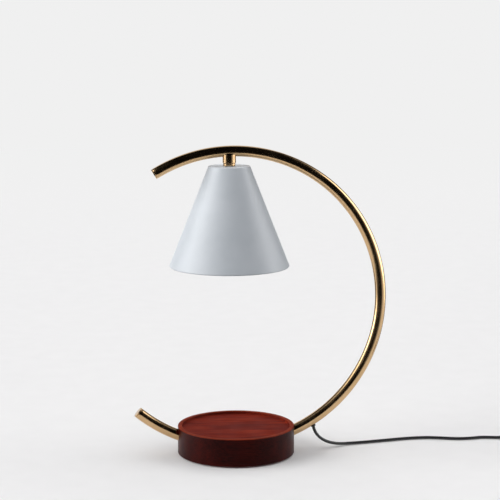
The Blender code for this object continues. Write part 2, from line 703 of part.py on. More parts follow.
def lamp_holder(head):
    """Ceramic holder with keyhole slots, its sleeves and screws, and the two contacts."""
    plan = rounded_rectangle(HOLDER_LENGTH, HOLDER_WIDTH, HOLDER_CORNER)
    body = add("holder_body", prism(plan, HOLDER_LOW, HOLDER_HIGH), CERAMIC, parent=head)
    stem_room, head_room = PIN_STEM_RADIUS + CLEARANCE, PIN_HEAD_RADIUS + CLEARANCE
    below = HOLDER_LOW - OVERRUN
    for locked in (math.pi / 2, -math.pi / 2):
        free = locked - TWIST
        entry = (PIN_CIRCLE * math.cos(free), PIN_CIRCLE * math.sin(free))
        cut(body, kidney(head_room, free, locked, SLOT_SHELF, SLOT_ROOF))
        cut(body, kidney(stem_room, free, locked, below, SLOT_SHELF + CLEARANCE))
        cut(body, cylinder(head_room, below, SLOT_SHELF + CLEARANCE, 12, *entry))
    above = HOLDER_HIGH + OVERRUN
    screw_room = HOLDER_SCREW_RADIUS + CLEARANCE
    cut(body, bars(pin_places(), WIRE_HOLE, SLOT_ROOF - CLEARANCE, above))
    cut(body, bars(holder_screw_places(), screw_room, HOLDER_HIGH - HOLDER_SCREW_DEPTH - CLEARANCE, above))
    head_seat = BRACKET_HIGH + CLEARANCE
    length = head_seat - HOLDER_HIGH + HOLDER_SCREW_DEPTH
    for side, (x, y) in zip(("left", "right"), holder_screw_places()):
        sleeve = ring(SLEEVE_RADIUS, screw_room, SLEEVE_LOW, SLEEVE_HIGH, 12)
        add(f"holder_sleeve_{side}", sleeve, STEEL, (x, y, 0), parent=head)
        shape = screw(HOLDER_SCREW_RADIUS, length, HOLDER_HEAD_RADIUS, HOLDER_HEAD_HEIGHT)
        add(f"holder_screw_{side}", shape, STEEL, (x, y, head_seat), (math.pi, 0, 0), head)
    low, high = PIN_HEAD_HIGH + CLEARANCE, SLOT_ROOF - CLEARANCE
    pit = high - WIRE_REACH - CLEARANCE
    outline = [(0, low), (TERMINAL_RADIUS, low), (TERMINAL_RADIUS, high), (WIRE_HOLE, high)]
    outline += [(WIRE_HOLE, pit), (0, pit)]
    for side, (x, y) in zip(("live", "neutral"), pin_places()):
        add(f"contact_{side}", turned(outline, 12), BRASS, (x, y, 0), parent=head)


def bulb():
    """Reflector bulb on its own axis: cap, pins, glass reflector, burner and front lens."""
    spin = axis("bulb_axis", (SHADE_AXIS_X, 0, 0))
    stem_hole = BURNER_STEM_RADIUS + CLEARANCE
    socket = CAP_LOW + BURNER_STEM_LENGTH
    outline = [(0, CAP_HIGH), (CAP_RADIUS - CAP_EDGE, CAP_HIGH), (CAP_RADIUS, CAP_HIGH - CAP_EDGE)]
    outline += [(CAP_RADIUS, CAP_LOW + CAP_TAPER), (NECK_RADIUS, CAP_LOW), (stem_hole, CAP_LOW)]
    outline += [(stem_hole, socket), (0, socket)]
    add("bulb_cap", turned(outline, 24), CERAMIC, parent=spin)
    shoulder = PIN_HEAD_RADIUS - PIN_SHOULDER
    outline = [(0, PIN_LOW), (PIN_STEM_RADIUS, PIN_LOW), (PIN_STEM_RADIUS, PIN_HEAD_LOW)]
    outline += [(PIN_HEAD_RADIUS, PIN_HEAD_LOW), (PIN_HEAD_RADIUS, PIN_HEAD_HIGH - PIN_SHOULDER)]
    outline += [(shoulder, PIN_HEAD_HIGH), (0, PIN_HEAD_HIGH)]
    for side, (x, y) in zip(("front", "back"), pin_places()):
        add(f"bulb_pin_{side}", turned(outline, 12), STEEL, (x, y, 0), parent=spin)

    def bowl(share, wall):
        """A parabola from the neck to the mouth."""
        neck, mouth = NECK_RADIUS - wall, MOUTH_RADIUS - wall
        radius = math.sqrt(neck**2 + (mouth**2 - neck**2) * share)
        return radius, NECK_HIGH - REFLECTOR_LENGTH * share

    shares = [step / REFLECTOR_STEPS for step in range(REFLECTOR_STEPS + 1)]
    outline = [(stem_hole, NECK_HIGH)] + [bowl(share, 0) for share in shares]
    outline += [(MOUTH_RADIUS, MOUTH_LOW), (MOUTH_RADIUS - REFLECTOR_WALL, MOUTH_LOW)]
    outline += [bowl(share, REFLECTOR_WALL) for share in shares[:0:-1]]
    outline += [(NECK_RADIUS - REFLECTOR_WALL, NECK_HIGH - REFLECTOR_WALL)]
    outline += [(stem_hole, NECK_HIGH - REFLECTOR_WALL)]
    add("bulb_reflector", turned(outline, 28), GLASS, parent=spin)
    top = NECK_HIGH - REFLECTOR_WALL - CLEARANCE
    round_middle = (0, top - BURNER_LENGTH + BURNER_RADIUS)
    outline = [(0, socket - CLEARANCE), (BURNER_STEM_RADIUS, socket - CLEARANCE), (BURNER_STEM_RADIUS, top)]
    outline += [(BURNER_RADIUS, top)] + arc(round_middle, BURNER_RADIUS, 0, -math.pi / 2, 3)[:-1]
    outline += [(0, top - BURNER_LENGTH)]
    add("bulb_burner", turned(outline, 12), GLASS, parent=spin)
    edge = MOUTH_RADIUS - REFLECTOR_WALL - CLEARANCE
    low = MOUTH_LOW + LENS_INSET
    outline = [(edge * out, low - LENS_CROWN * drop) for out, drop in LENS_CROWN_SHARES]
    outline += [(edge, low + LENS_THICKNESS), (0, low + LENS_THICKNESS)]
    add("bulb_lens", turned(outline, 28), GLASS, parent=spin)


def leads():
    """The cord inside the tube, from the bush to the rod's lower end, and its two cores to the contacts."""
    start, end = grommet_span()
    frame = grommet_frame()
    head = math.acos((SHADE_AXIS_X - ARC_CENTRE_X) / ARC_RADIUS)
    slack = BORE_RADIUS - CORD_RADIUS - CLEARANCE
    route = [frame @ Vector((0, 0, -reach)) for reach in (end, (start + end) / 2, start, start / 3)]
    leaving_shares = ((4, -0.42), (8, -0.7), (14, -0.6), (20, -0.3))
    route += [arc_point(GROMMET_ANGLE + math.radians(turn), slack * share) for turn, share in leaving_shares]
    first, last = GROMMET_ANGLE + math.radians(28), head - math.radians(18)
    route += [arc_point(angle) for angle in np.linspace(first, last, 12)]
    arriving_shares = ((11, 0.35), (6, 0.7), (3, 0.65))
    route += [arc_point(head - math.radians(turn), slack * share) for turn, share in arriving_shares]
    heights = [TUBE_AXIS_OVER_SHADE - CORD_RADIUS / 2, NIPPLE_HIGH, (NIPPLE_HIGH + NIPPLE_LOW) / 2, NIPPLE_LOW]
    route += [Vector((SHADE_AXIS_X, 0, height)) for height in heights]
    flex("inner_lead", smooth(route, 2), CORD_RADIUS, 2, BLACK_VINYL)
    core_start = NIPPLE_LOW - CLEARANCE
    middle = (core_start + HOLDER_HIGH) / 2
    above = HOLDER_HIGH + 2 * WIRE_RADIUS
    core_end = SLOT_ROOF - CLEARANCE - WIRE_REACH
    for name, side, surface in (("wire_live", -1, BROWN_WIRE), ("wire_neutral", 1, BLUE_WIRE)):
        near, far = side * WIRE_SPREAD, side * PIN_CIRCLE
        path = [(SHADE_AXIS_X, near, core_start), (SHADE_AXIS_X, (near + far) / 2, middle)]
        path += [(SHADE_AXIS_X, far, above), (SHADE_AXIS_X, far, core_end)]
        flex(name, smooth(path, 3), WIRE_RADIUS, 1, surface)


def dimmer_plan(inset=0.0):
    """The dimmer's outline, or the outline of its hollow."""
    return rounded_rectangle(DIMMER_LENGTH - 2 * inset, DIMMER_WIDTH - 2 * inset, DIMMER_CORNER - inset)


def dimmer_screw_places():
    """Where the dimmer's two screws stand, from its middle."""
    return [(-POST_X, POST_Y), (POST_X, POST_Y)]


def cord_way():
    """A bar along X through the dimmer, as thick as the cord's way in and out."""
    bar = cylinder(CORD_BORE, -DIMMER_LENGTH, DIMMER_LENGTH, 12)
    return moved(turned_by(bar, Matrix.Rotation(math.pi / 2, 4, "Y")), z=DIMMER_MIDDLE)


def wheel_way():
    """The round slot that the thumbwheel turns in."""
    low, high = WHEEL_LOW - CLEARANCE, WHEEL_LOW + WHEEL_THICKNESS + CLEARANCE
    return cylinder(WHEEL_RADIUS + WHEEL_GAP, low, high, 24, WHEEL_X - DIMMER_X, WHEEL_Y - DIMMER_Y)


def dimmer_shells(middle):
    """Two moulded shells that meet at mid height, open for the cord at both ends and for the wheel at the front."""
    base_high, cover_low = DIMMER_MIDDLE - CLEARANCE / 2, DIMMER_MIDDLE + CLEARANCE / 2
    places = dimmer_screw_places()
    root = DIMMER_WALL / 2
    base = add("dimmer_base", prism(dimmer_plan(), 0, base_high), BLACK_VINYL, parent=middle)
    cut(base, prism(dimmer_plan(DIMMER_WALL), DIMMER_WALL, base_high + OVERRUN))
    stands = [(-BOARD_LENGTH / 3, 0), (BOARD_LENGTH / 3, 0)]
    fuse(base, bars(stands, STAND_RADIUS, root, DIMMER_WALL + BOARD_STAND))
    fuse(base, bars(places, POST_RADIUS, root, base_high))
    cut(base, cord_way())
    cut(base, wheel_way())
    seat = DIMMER_HEAD_SINK + DIMMER_HEAD_HEIGHT
    cut(base, bars(places, DIMMER_HEAD_RADIUS + CLEARANCE, -OVERRUN, seat + CLEARANCE))
    cut(base, bars(places, DIMMER_SCREW_RADIUS + CLEARANCE, -OVERRUN, base_high + OVERRUN))
    cover = add("dimmer_cover", prism(dimmer_plan(), cover_low, DIMMER_HEIGHT), BLACK_VINYL, parent=middle)
    cut(cover, prism(dimmer_plan(DIMMER_WALL), cover_low - OVERRUN, DIMMER_HEIGHT - DIMMER_WALL))
    fuse(cover, bars(places, POST_RADIUS, cover_low, DIMMER_HEIGHT - root))
    cut(cover, cord_way())
    cut(cover, wheel_way())
    screw_end = seat + DIMMER_SCREW_LENGTH + CLEARANCE
    cut(cover, bars(places, DIMMER_SCREW_RADIUS + CLEARANCE, cover_low - OVERRUN, screw_end))
    for side, (x, y) in zip(("left", "right"), places):
        shape = screw(DIMMER_SCREW_RADIUS, DIMMER_SCREW_LENGTH, DIMMER_HEAD_RADIUS, DIMMER_HEAD_HEIGHT)
        add(f"dimmer_screw_{side}", shape, STEEL, (x, y, seat), parent=middle)


def dimmer_works(middle):
    """Thumbwheel on its spindle, the pot that it turns in, and the board with its parts."""
    spin = axis("wheel_axis", (WHEEL_X, WHEEL_Y, 0))
    outline = []
    for tooth in range(WHEEL_TEETH):
        start = math.tau * tooth / WHEEL_TEETH
        half = math.pi / WHEEL_TEETH
        outline += arc((0, 0), WHEEL_RADIUS, start, start + half, 1)
        outline += arc((0, 0), WHEEL_RADIUS - WHEEL_NOTCH, start + 3 * half / 2, start + 3 * half / 2, 0)
    wheel_high = WHEEL_LOW + WHEEL_THICKNESS
    wheel = add("dimmer_wheel", prism(outline, WHEEL_LOW, wheel_high), BLACK_VINYL, parent=spin)
    cut(wheel, cylinder(SPINDLE_RADIUS + CLEARANCE, WHEEL_LOW - OVERRUN, wheel_high + OVERRUN, 10))
    part_low = BOARD_HIGH + CLEARANCE
    add("dimmer_spindle", cylinder(SPINDLE_RADIUS, part_low, wheel_high + SPINDLE_REACH, 10), STEEL, parent=spin)
    pot = ring(POT_RADIUS, SPINDLE_RADIUS + CLEARANCE, part_low, part_low + POT_HEIGHT, 16)
    add("dimmer_pot", pot, STEEL, (WHEEL_X - DIMMER_X, WHEEL_Y - DIMMER_Y, 0), parent=middle)
    board = block((BOARD_LENGTH, BOARD_WIDTH, BOARD_THICKNESS), low=BOARD_LOW)
    add("dimmer_board", board, BOARD_GREEN, parent=middle)
    add("dimmer_capacitor", block(CAPACITOR_SIZE), BLUE_WIRE, (CAPACITOR_X, 0, part_low), parent=middle)


def relief(name, at, side):
    """Tapered sleeve round the cord, thick at one end, from which it runs towards +X or -X."""
    outline = [(CORD_BORE, 0), (RELIEF_THICK_RADIUS, 0)]
    outline += [(RELIEF_THIN_RADIUS, RELIEF_LENGTH), (CORD_BORE, RELIEF_LENGTH)]
    add(name, turned(outline, 14), BLACK_VINYL, at, (0, side * math.pi / 2, 0))


def coil_points():
    """The coil's centreline: layers that spiral in and out, each climb in the half turn where they reverse."""
    turns = np.arange(COIL_TURNS * TURN_POINTS + 1) / TURN_POINTS
    each = COIL_TURNS / COIL_LAYERS
    layer = np.minimum(np.floor(turns / each), COIL_LAYERS - 1)
    share = turns / each - layer
    width = each * COIL_PITCH
    inward = np.where(layer % 2 == 0, share, 1 - share)
    radius = COIL_MEAN_RADIUS + width / 2 - width * inward
    height = np.full_like(turns, CORD_RADIUS + COIL_LIFT)
    for number in range(1, COIL_LAYERS):
        rise = np.clip(2 * (turns - number * each) + 1 / 2, 0, 1)
        height += COIL_PITCH * rise * rise * (3 - 2 * rise)
    angle = math.pi / 2 + math.tau * turns
    points = np.stack([COIL_X + radius * np.cos(angle), COIL_Y + radius * np.sin(angle), height], 1)
    straight = np.array([2 * CORD_RADIUS, 0, 0])
    return np.vstack([points[:1] + straight, points, points[-1:] + straight])


def least_gap(points):
    """The least gap between the coil's turns, from its points."""
    apart = np.linalg.norm(points[:, None] - points[None], axis=2)
    order = np.arange(len(points))
    return apart[abs(np.subtract.outer(order, order)) > TURN_POINTS / 2].min() - 2 * CORD_RADIUS


def cords():
    """The free cord: to the dimmer, round to the coil, the coil, and its tail to the plug."""
    start, end = grommet_span()
    leave = grommet_frame() @ Vector((0, 0, -end - CLEARANCE))
    run = [
        tuple(leave),
        (0.0884, 0.0008, 0.0238),
        (0.0912, 0.002, 0.0184),
        (0.0962, 0.004, 0.0128),
        (0.1035, 0.0068, 0.0079),
        (0.1125, 0.0102, 0.0045),
        (0.1222, 0.0138, 0.0026),
        (0.1335, 0.0175, 0.0019),
        (0.149, 0.0203, 0.0018),
        (0.1709, 0.0249, 0.0018),
        (0.1929, 0.0298, 0.0018),
        (0.2109, 0.0323, 0.0018),
        (0.2261, 0.032, 0.0018),
        (0.2395, 0.0289, 0.0018),
        (0.252, 0.0251, 0.0018),
        (0.2628, 0.0234, 0.0018),
        (0.2745, 0.0243, 0.0018),
        (0.2874, 0.0266, 0.0018),
        (0.2985, 0.0249, 0.0018),
        (0.309, 0.0226, 0.0022),
        (0.3215, 0.0218, 0.0047),
        (0.3335, 0.022, 0.0073),
        (0.34, 0.022, 0.0075),
        (0.3485, 0.022, 0.0075),
        (DIMMER_X - DIMMER_LENGTH / 2 + CORD_ENTRY, DIMMER_Y, DIMMER_MIDDLE),
    ]
    coil = coil_points()
    tail_y = coil[-1][1]
    link = [
        (DIMMER_X + DIMMER_LENGTH / 2 - CORD_ENTRY, DIMMER_Y, DIMMER_MIDDLE),
        (0.4115, 0.022, 0.0075),
        (0.42, 0.022, 0.0075),
        (0.4275, 0.022, 0.0073),
        (0.4347, 0.0208, 0.006),
        (0.4405, 0.0175, 0.0045),
        (0.4441, 0.0118, 0.003),
        (0.4446, 0.0042, 0.0021),
        (0.4415, -0.0032, 0.0018),
        (0.4355, -0.0079, 0.0018),
        (0.4275, -0.0095, 0.0018),
        (0.414, -0.0094, 0.0018),
        (0.4, -0.0094, 0.0019),
        (0.388, -0.0094, 0.0025),
        (coil[0][0] + CLEARANCE, coil[0][1], coil[0][2]),
    ]
    tail = [
        (coil[-1][0] + CLEARANCE, tail_y, coil[-1][2]),
        (0.3835, tail_y, 0.0132),
        (0.391, tail_y, 0.0102),
        (0.398, tail_y, 0.0075),
        (0.4045, tail_y, 0.0066),
        (0.413, tail_y, 0.0065),
        (PLUG_SEAT, tail_y, PLUG_MIDDLE),
    ]
    lengths = [length_of(coil)]
    flex("cord_coil", coil, CORD_RADIUS, 1, BLACK_VINYL)
    for name, route in (("cord_run", run), ("cord_link", link), ("cord_tail", tail)):
        line = smooth(route, 2)
        flex(name, line, CORD_RADIUS, 2, BLACK_VINYL)
        lengths.append(length_of(line))
    print("coil, run, link and tail in mm:", [round(1000 * length) for length in lengths])
    print(f"cord in all {sum(lengths):.3f} m, the coil's least gap to itself {1000 * least_gap(coil):.2f} mm")


def cord_tie():
    """A strap round the coil's bundle, on the side towards the lamp."""
    half = COIL_TURNS / COIL_LAYERS * COIL_PITCH / 2 + CORD_RADIUS + TIE_SLACK
    height = 2 * CORD_RADIUS + (COIL_LAYERS - 1) * COIL_PITCH + 2 * (CLEARANCE + TIE_THICKNESS)
    middle = COIL_LIFT - CLEARANCE - TIE_THICKNESS + height / 2
    outer = rounded_rectangle(2 * (half + TIE_THICKNESS), height, CORD_RADIUS)
    inner = rounded_rectangle(2 * half, height - 2 * TIE_THICKNESS, CORD_RADIUS - TIE_THICKNESS)
    at = (COIL_X - COIL_MEAN_RADIUS, COIL_Y, middle)
    strap = add("cord_tie", prism(outer, -TIE_WIDTH / 2, TIE_WIDTH / 2), BLACK_VINYL, at, (math.pi / 2, 0, 0))
    cut(strap, prism(inner, -TIE_WIDTH, TIE_WIDTH))


def plug():
    """Two-blade plug with a tapered sleeve."""
    tail_y = coil_points()[-1][1]
    relief("plug_relief", (PLUG_SEAT, tail_y, PLUG_MIDDLE), -1)
    waist = PLUG_LENGTH * PLUG_WAIST_SHARE
    outline = [(0, -PLUG_NECK / 2), (waist, -PLUG_WIDTH / 2), (PLUG_LENGTH, -PLUG_WIDTH / 2)]
    outline += [(PLUG_LENGTH, PLUG_WIDTH / 2), (waist, PLUG_WIDTH / 2), (0, PLUG_NECK / 2)]
    at = (PLUG_SEAT + CLEARANCE, tail_y, PLUG_MIDDLE)
    body = add("plug_body", prism(outline, -PLUG_MIDDLE, PLUG_MIDDLE), BLACK_VINYL, at)
    rounded = body.modifiers.new("rounded", "BEVEL")
    rounded.width = PLUG_ROUND
    rounded.segments = 2
    length = BLADE_ROOT + BLADE_LENGTH
    middle = PLUG_LENGTH - BLADE_ROOT + length / 2
    room = (length + 2 * CLEARANCE, BLADE_THICKNESS + 2 * CLEARANCE, BLADE_WIDTH + 2 * CLEARANCE)
    for side, y in (("left", -BLADE_SPACING / 2), ("right", BLADE_SPACING / 2)):
        cut(body, block(room, middle, y, -room[2] / 2))
        blade = block((length, BLADE_THICKNESS, BLADE_WIDTH), low=-BLADE_WIDTH / 2)
        add(f"plug_blade_{side}", blade, BRASS, (middle, y, 0), parent=body)


def main():
    """Clear the scene and build every piece."""
    for old in list(bpy.data.objects):
        bpy.data.objects.remove(old)
    base_dish()
    ballast()
    foot()
    arc_tube()
    end_plugs()
    grommet()
    head = axis("head_axis", (SHADE_AXIS_X, 0, 0))
    collar(head)
    shade(head)
    clamp_stack(head)
    lamp_holder(head)
    bulb()
    leads()
    middle = axis("dimmer_middle", (DIMMER_X, DIMMER_Y, 0))
    dimmer_shells(middle)
    dimmer_works(middle)
    reach = DIMMER_LENGTH / 2 + CLEARANCE
    relief("dimmer_relief_in", (DIMMER_X - reach, DIMMER_Y, DIMMER_MIDDLE), -1)
    relief("dimmer_relief_out", (DIMMER_X + reach, DIMMER_Y, DIMMER_MIDDLE), 1)
    cords()
    cord_tie()
    plug()


main()
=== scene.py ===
# %% [markdown]
# Warmer lamp: a turned wooden dish, a brass tube bent into an open circle, and a white cone with a
# reflector bulb in it. The CAD model comes in first as a fixed frame. It has every part at its true
# size and place, so each finer piece below is made where its CAD part stands, and nothing is fitted.

# %% Load the frame
import math

import bmesh
import bpy
import numpy as np
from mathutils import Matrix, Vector


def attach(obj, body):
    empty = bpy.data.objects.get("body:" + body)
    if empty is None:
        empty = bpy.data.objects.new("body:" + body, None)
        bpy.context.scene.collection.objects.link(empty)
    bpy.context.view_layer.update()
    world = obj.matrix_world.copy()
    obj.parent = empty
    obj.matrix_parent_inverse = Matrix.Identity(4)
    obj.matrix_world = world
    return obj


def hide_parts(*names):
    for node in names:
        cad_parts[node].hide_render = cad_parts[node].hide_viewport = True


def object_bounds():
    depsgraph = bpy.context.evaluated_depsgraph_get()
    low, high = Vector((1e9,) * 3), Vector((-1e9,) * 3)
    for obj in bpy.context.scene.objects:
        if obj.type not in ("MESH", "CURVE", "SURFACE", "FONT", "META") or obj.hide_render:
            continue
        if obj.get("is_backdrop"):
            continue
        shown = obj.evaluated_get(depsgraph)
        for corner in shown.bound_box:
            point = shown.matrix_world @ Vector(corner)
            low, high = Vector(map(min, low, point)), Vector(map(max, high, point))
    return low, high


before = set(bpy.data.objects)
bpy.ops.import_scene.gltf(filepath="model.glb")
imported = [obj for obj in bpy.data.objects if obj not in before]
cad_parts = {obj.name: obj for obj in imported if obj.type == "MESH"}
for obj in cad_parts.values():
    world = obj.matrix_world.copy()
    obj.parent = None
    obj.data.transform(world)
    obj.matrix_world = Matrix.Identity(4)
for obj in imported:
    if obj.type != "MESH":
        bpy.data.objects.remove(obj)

cad_box = [list(corner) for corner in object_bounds()]
print("CAD box from", np.round(cad_box[0], 4), "to", np.round(cad_box[1], 4))

# %% [markdown]
# The camera stands a little above the dish's rim and far away, with a long lens, as the photograph's
# nearly parallel edges say. Its place, direction and lens were worked out from the pixels of the dish's
# rim, the shade's two circles and the tube's circle. A camera could also be placed by eye, but then
# every later comparison would first have to ask whether the camera is right.

# %% Camera
def placed(name, data):
    """Put a new object with this data in the scene."""
    made = bpy.data.objects.new(name, data)
    bpy.context.scene.collection.objects.link(made)
    return made


camera = placed("camera", bpy.data.cameras.new("camera"))
bpy.context.scene.camera = camera
camera.data.sensor_width, camera.data.lens = 36.0, 121.13
looking = Vector((0.10650, 0.98260, -0.15230)).normalized()
camera.rotation_mode = "QUATERNION"
camera.rotation_quaternion = looking.to_track_quat("-Z", "Y")
camera.location = (-0.1816, -1.8208, 0.5113)
print("camera", round(camera.location.length, 3), "m from the dish's foot")

# %% [markdown]
# Every new piece is a grid of points: rows follow a profile or a path, and columns go all the way
# round. A lathe, a bent tube, a cord and a moulded box are all such grids with different formulas, so
# one function is enough to turn any of them into a mesh. Primitives with modifiers would also do, but
# a formula keeps the real sizes in plain sight. The mesh keeps a map called Run, in which one side is
# the way round and the other is the length along the rows in metres, for patterns that follow a cord.

# %% From grids of points to closed pieces
mm, crease = 0.001, 32  # edges that turn by more degrees than this stay sharp
same_place, same_after_cut = 2e-7, 2e-6


def solid(name, grids, sharp=crease):
    """A closed mesh of four-cornered faces between the points of each grid, whose columns go all round."""
    points, faces, corners, first = [], [], [], 0
    for grid in grids if isinstance(grids, list) else [grids]:
        rows, columns = grid.shape[:2]
        number = first + np.arange(rows * columns).reshape(rows, columns)
        after = np.roll(number, -1, axis=1)
        faces.append(np.stack([number[:-1], number[1:], after[1:], after[:-1]], -1).reshape(-1, 4))
        step = np.linalg.norm(np.diff(grid, axis=0), axis=2).mean(1)
        along = np.concatenate([[0], np.cumsum(step)])[:, None] + np.zeros(columns + 1)
        run = np.stack([np.arange(columns + 1) / columns + np.zeros((rows, 1)), along], -1)
        four = np.stack([run[:-1, :-1], run[1:, :-1], run[1:, 1:], run[:-1, 1:]], 2)
        corners.append(four.reshape(-1, 2))
        points.append(grid.reshape(-1, 3))
        first += rows * columns
    mesh = bpy.data.meshes.new(name)
    mesh.from_pydata(np.vstack(points).tolist(), [], np.vstack(faces).tolist())
    run = np.vstack(corners).astype(np.float32)
    mesh.uv_layers.new(name="Run").data.foreach_set("uv", run.ravel())
    shape = bmesh.new()
    shape.from_mesh(mesh)
    bmesh.ops.remove_doubles(shape, verts=shape.verts, dist=same_place)
    bmesh.ops.recalc_face_normals(shape, faces=shape.faces)
    shape.to_mesh(mesh)
    shape.free()
    mesh.shade_smooth()
    mesh.set_sharp_from_angle(angle=math.radians(sharp))
    return mesh


def show(name, grids, stuff, nodes, body="lamp", sharp=crease):
    """Make a piece of grids with a finish. It rides on a body and stands for CAD nodes."""
    piece = placed(name, solid(name, grids, sharp))
    piece.data.materials.append(stuff)
    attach(piece, body)
    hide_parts(*nodes)
    sizes = [round(side / mm, 1) for side in piece.dimensions]
    print(f"{name}: {len(piece.data.polygons)} faces, {sizes} mm")
    return piece


def cut(piece, *tools):
    """Take closed forms, each a grid or a list of grids, out of a piece, one after another. Points that a
    cut leaves together become one before the next, and faces with many corners are split, so that the
    mesh stays closed."""
    stuff = piece.data.materials[0]
    for tool in tools:
        helper = placed("helper", solid("helper", tool))
        modifier = piece.modifiers.new("cut", "BOOLEAN")
        modifier.solver, modifier.object = "EXACT", helper
        seen = piece.evaluated_get(bpy.context.evaluated_depsgraph_get())
        left = bpy.data.meshes.new_from_object(seen)
        piece.modifiers.clear()
        bpy.data.objects.remove(helper)
        shape = bmesh.new()
        shape.from_mesh(left)
        bmesh.ops.remove_doubles(shape, verts=shape.verts, dist=same_after_cut)
        bmesh.ops.dissolve_degenerate(shape, edges=shape.edges, dist=same_after_cut)
        bmesh.ops.triangulate(shape, faces=[face for face in shape.faces if len(face.verts) > 4])
        shape.to_mesh(left)
        shape.free()
        piece.data = left
    left.materials.clear()
    left.materials.append(stuff)
    left.shade_smooth()
    left.set_sharp_from_angle(angle=math.radians(crease))
    print(f"  {piece.name} after {len(tools)} cuts: {len(left.polygons)} faces")


print("points closer than", same_place, "m become one")

# %% [markdown]
# Real edges are never perfectly sharp: a turning tool leaves a small round, a mould has a radius and a
# buffing wheel takes the corner off. Such rounds catch a thin line of light, and an object without them
# looks drawn. One function softens the corners of any profile. The other functions here carry a profile
# round an axis, along a line or up a plan, which are the three ways this lamp's parts are made.

# %% Profiles and the ways to carry them
def softened(outline, reach, steps=7):
    """Each inner corner becomes (1-t)^2*a + 2t(1-t)*corner + t^2*b, where a and b lie a reach from it."""
    outline = np.asarray(outline, float)
    corner = outline[1:-1]
    back, on = outline[:-2] - corner, outline[2:] - corner
    far_back, far_on = np.linalg.norm(back, axis=1), np.linalg.norm(on, axis=1)
    reach = np.minimum(reach, 0.4 * np.minimum(far_back, far_on))[:, None, None]
    back, on = (back / far_back[:, None])[:, None], (on / far_on[:, None])[:, None]
    corner, t = corner[:, None], np.linspace(0, 1, steps)[None, :, None]
    a, b = corner + back * reach, corner + on * reach
    curve = (1 - t) ** 2 * a + 2 * t * (1 - t) * corner + t**2 * b
    held = np.concatenate([corner + back * reach * 1.2, curve, corner + on * reach * 1.2], 1)
    return np.vstack([outline[:1], held.reshape(-1, 2), outline[-1:]])


def all_round(columns):
    """Even angles all the way round, as one row."""
    return np.linspace(0, math.tau, columns, endpoint=False)[None]


def turned(radius, angle, height):
    """Points (r*cos(a), r*sin(a), height), where each of the three may change by row and by column."""
    return np.stack(np.broadcast_arrays(radius * np.cos(angle), radius * np.sin(angle), height), -1)


def lathe(profile, columns=96, at=(0.0, 0.0)):
    """A profile of radius and height in mm, carried round an upright axis."""
    radius, height = (mm * np.asarray(profile, float).T)[:, :, None]
    return turned(radius, all_round(columns), height) + (mm * at[0], mm * at[1], 0)


def ringed(inner, outer, low, high, reach, columns=96, at=(0.0, 0.0)):
    """A washer or sleeve: a softened rectangle between two radii and two heights, carried round."""
    middle = (inner + outer) / 2
    loop = [(middle, low), (outer, low), (outer, high), (inner, high), (inner, low), (middle, low)]
    return lathe(softened(loop, reach, 5), columns, at)


def bar(radius, low, high, at=(0.0, 0.0), columns=48):
    """A round bar, as a tool to cut with."""
    return lathe([(0, low), (radius, low), (radius, high), (0, high)], columns, at)


def hose(path, radius, up, columns=24):
    """Circles carried along a path, square to it, each starting at its up side, with a point at both ends."""
    path, up = np.asarray(path, float), np.asarray(up, float)
    ahead = np.gradient(path, axis=0)
    ahead /= np.linalg.norm(ahead, axis=1)[:, None]
    side = up - (ahead @ up)[:, None] * ahead
    side /= np.linalg.norm(side, axis=1)[:, None]
    other, angle = np.cross(ahead, side), all_round(columns)[..., None]
    rings = path[:, None] + radius * (np.cos(angle) * side[:, None] + np.sin(angle) * other[:, None])
    start, end = [np.repeat(point[:, None], columns, 1) for point in (path[:1], path[-1:])]
    return np.concatenate([start, rings, end])


def rounded_plan(length, width, corner, steps=10):
    """A closed outline in mm: quarter circles of one radius round the corners of a smaller rectangle."""
    quarter = np.linspace(0, math.pi / 2, steps)
    angle = (np.arange(4)[:, None] * math.pi / 2 + quarter).ravel()
    signs = np.repeat([(1, 1), (-1, 1), (-1, -1), (1, -1)], steps, 0)
    middle = signs * (length / 2 - corner, width / 2 - corner)
    return middle + corner * np.stack([np.cos(angle), np.sin(angle)], 1)


def slab(plan, low, high, soft_low, soft_high, deep=1.5, at=(0.0, 0.0)):
    """A plan carried up a profile: each row is the plan moved inwards along its normals, at its height."""
    along = np.roll(plan, -1, 0) - np.roll(plan, 1, 0)
    out = np.stack([along[:, 1], -along[:, 0]], 1) / np.linalg.norm(along, axis=1)[:, None]
    corners = [(deep, low), (0, low), (0, high), (deep, high)]
    profile = softened(corners, np.array([soft_low, soft_high]))
    rows = plan[None] - profile[:, :1, None] * out[None]
    middle = np.repeat(plan.mean(0)[None, None], len(plan), 1)
    flat = np.concatenate([middle, rows, middle])
    height = np.concatenate([[low], profile[:, 1], [high]])[:, None, None] + 0 * flat[:, :, :1]
    return mm * np.concatenate([flat + at, height], 2)


def aimed(grid, origin, ahead):
    """The grid in new axes: its own Z points along a direction in the XZ plane, from a new origin."""
    ahead = np.asarray(ahead, float) / np.linalg.norm(ahead)
    across = np.cross((0, 1, 0), ahead)
    return grid @ np.stack([across, (0, 1, 0), ahead]) + np.asarray(origin, float)


def smooth(points, samples):
    """A curve through points: a cubic between two of them leaves and arrives along their neighbours' line."""
    known = np.asarray(points, float)
    ends = np.vstack([2 * known[0] - known[1], known, 2 * known[-1] - known[-2]])
    here, there = ends[1:-2, None], ends[2:-1, None]
    leaving, arriving = (there - ends[:-3, None]) / 2, (ends[3:, None] - here) / 2
    t = (np.arange(samples) / samples)[None, :, None]
    curve = here * (2 * t**3 - 3 * t**2 + 1) + there * (3 * t**2 - 2 * t**3)
    curve = curve + leaving * (t**3 - 2 * t**2 + t) + arriving * (t**3 - t**2)
    return np.vstack([curve.reshape(-1, 3), known[-1:]])


square = [(0, 0), (10, 0), (10, 10)]
print("a 2 mm round on a 10 mm square corner has", len(softened(square, 2.0)), "points")

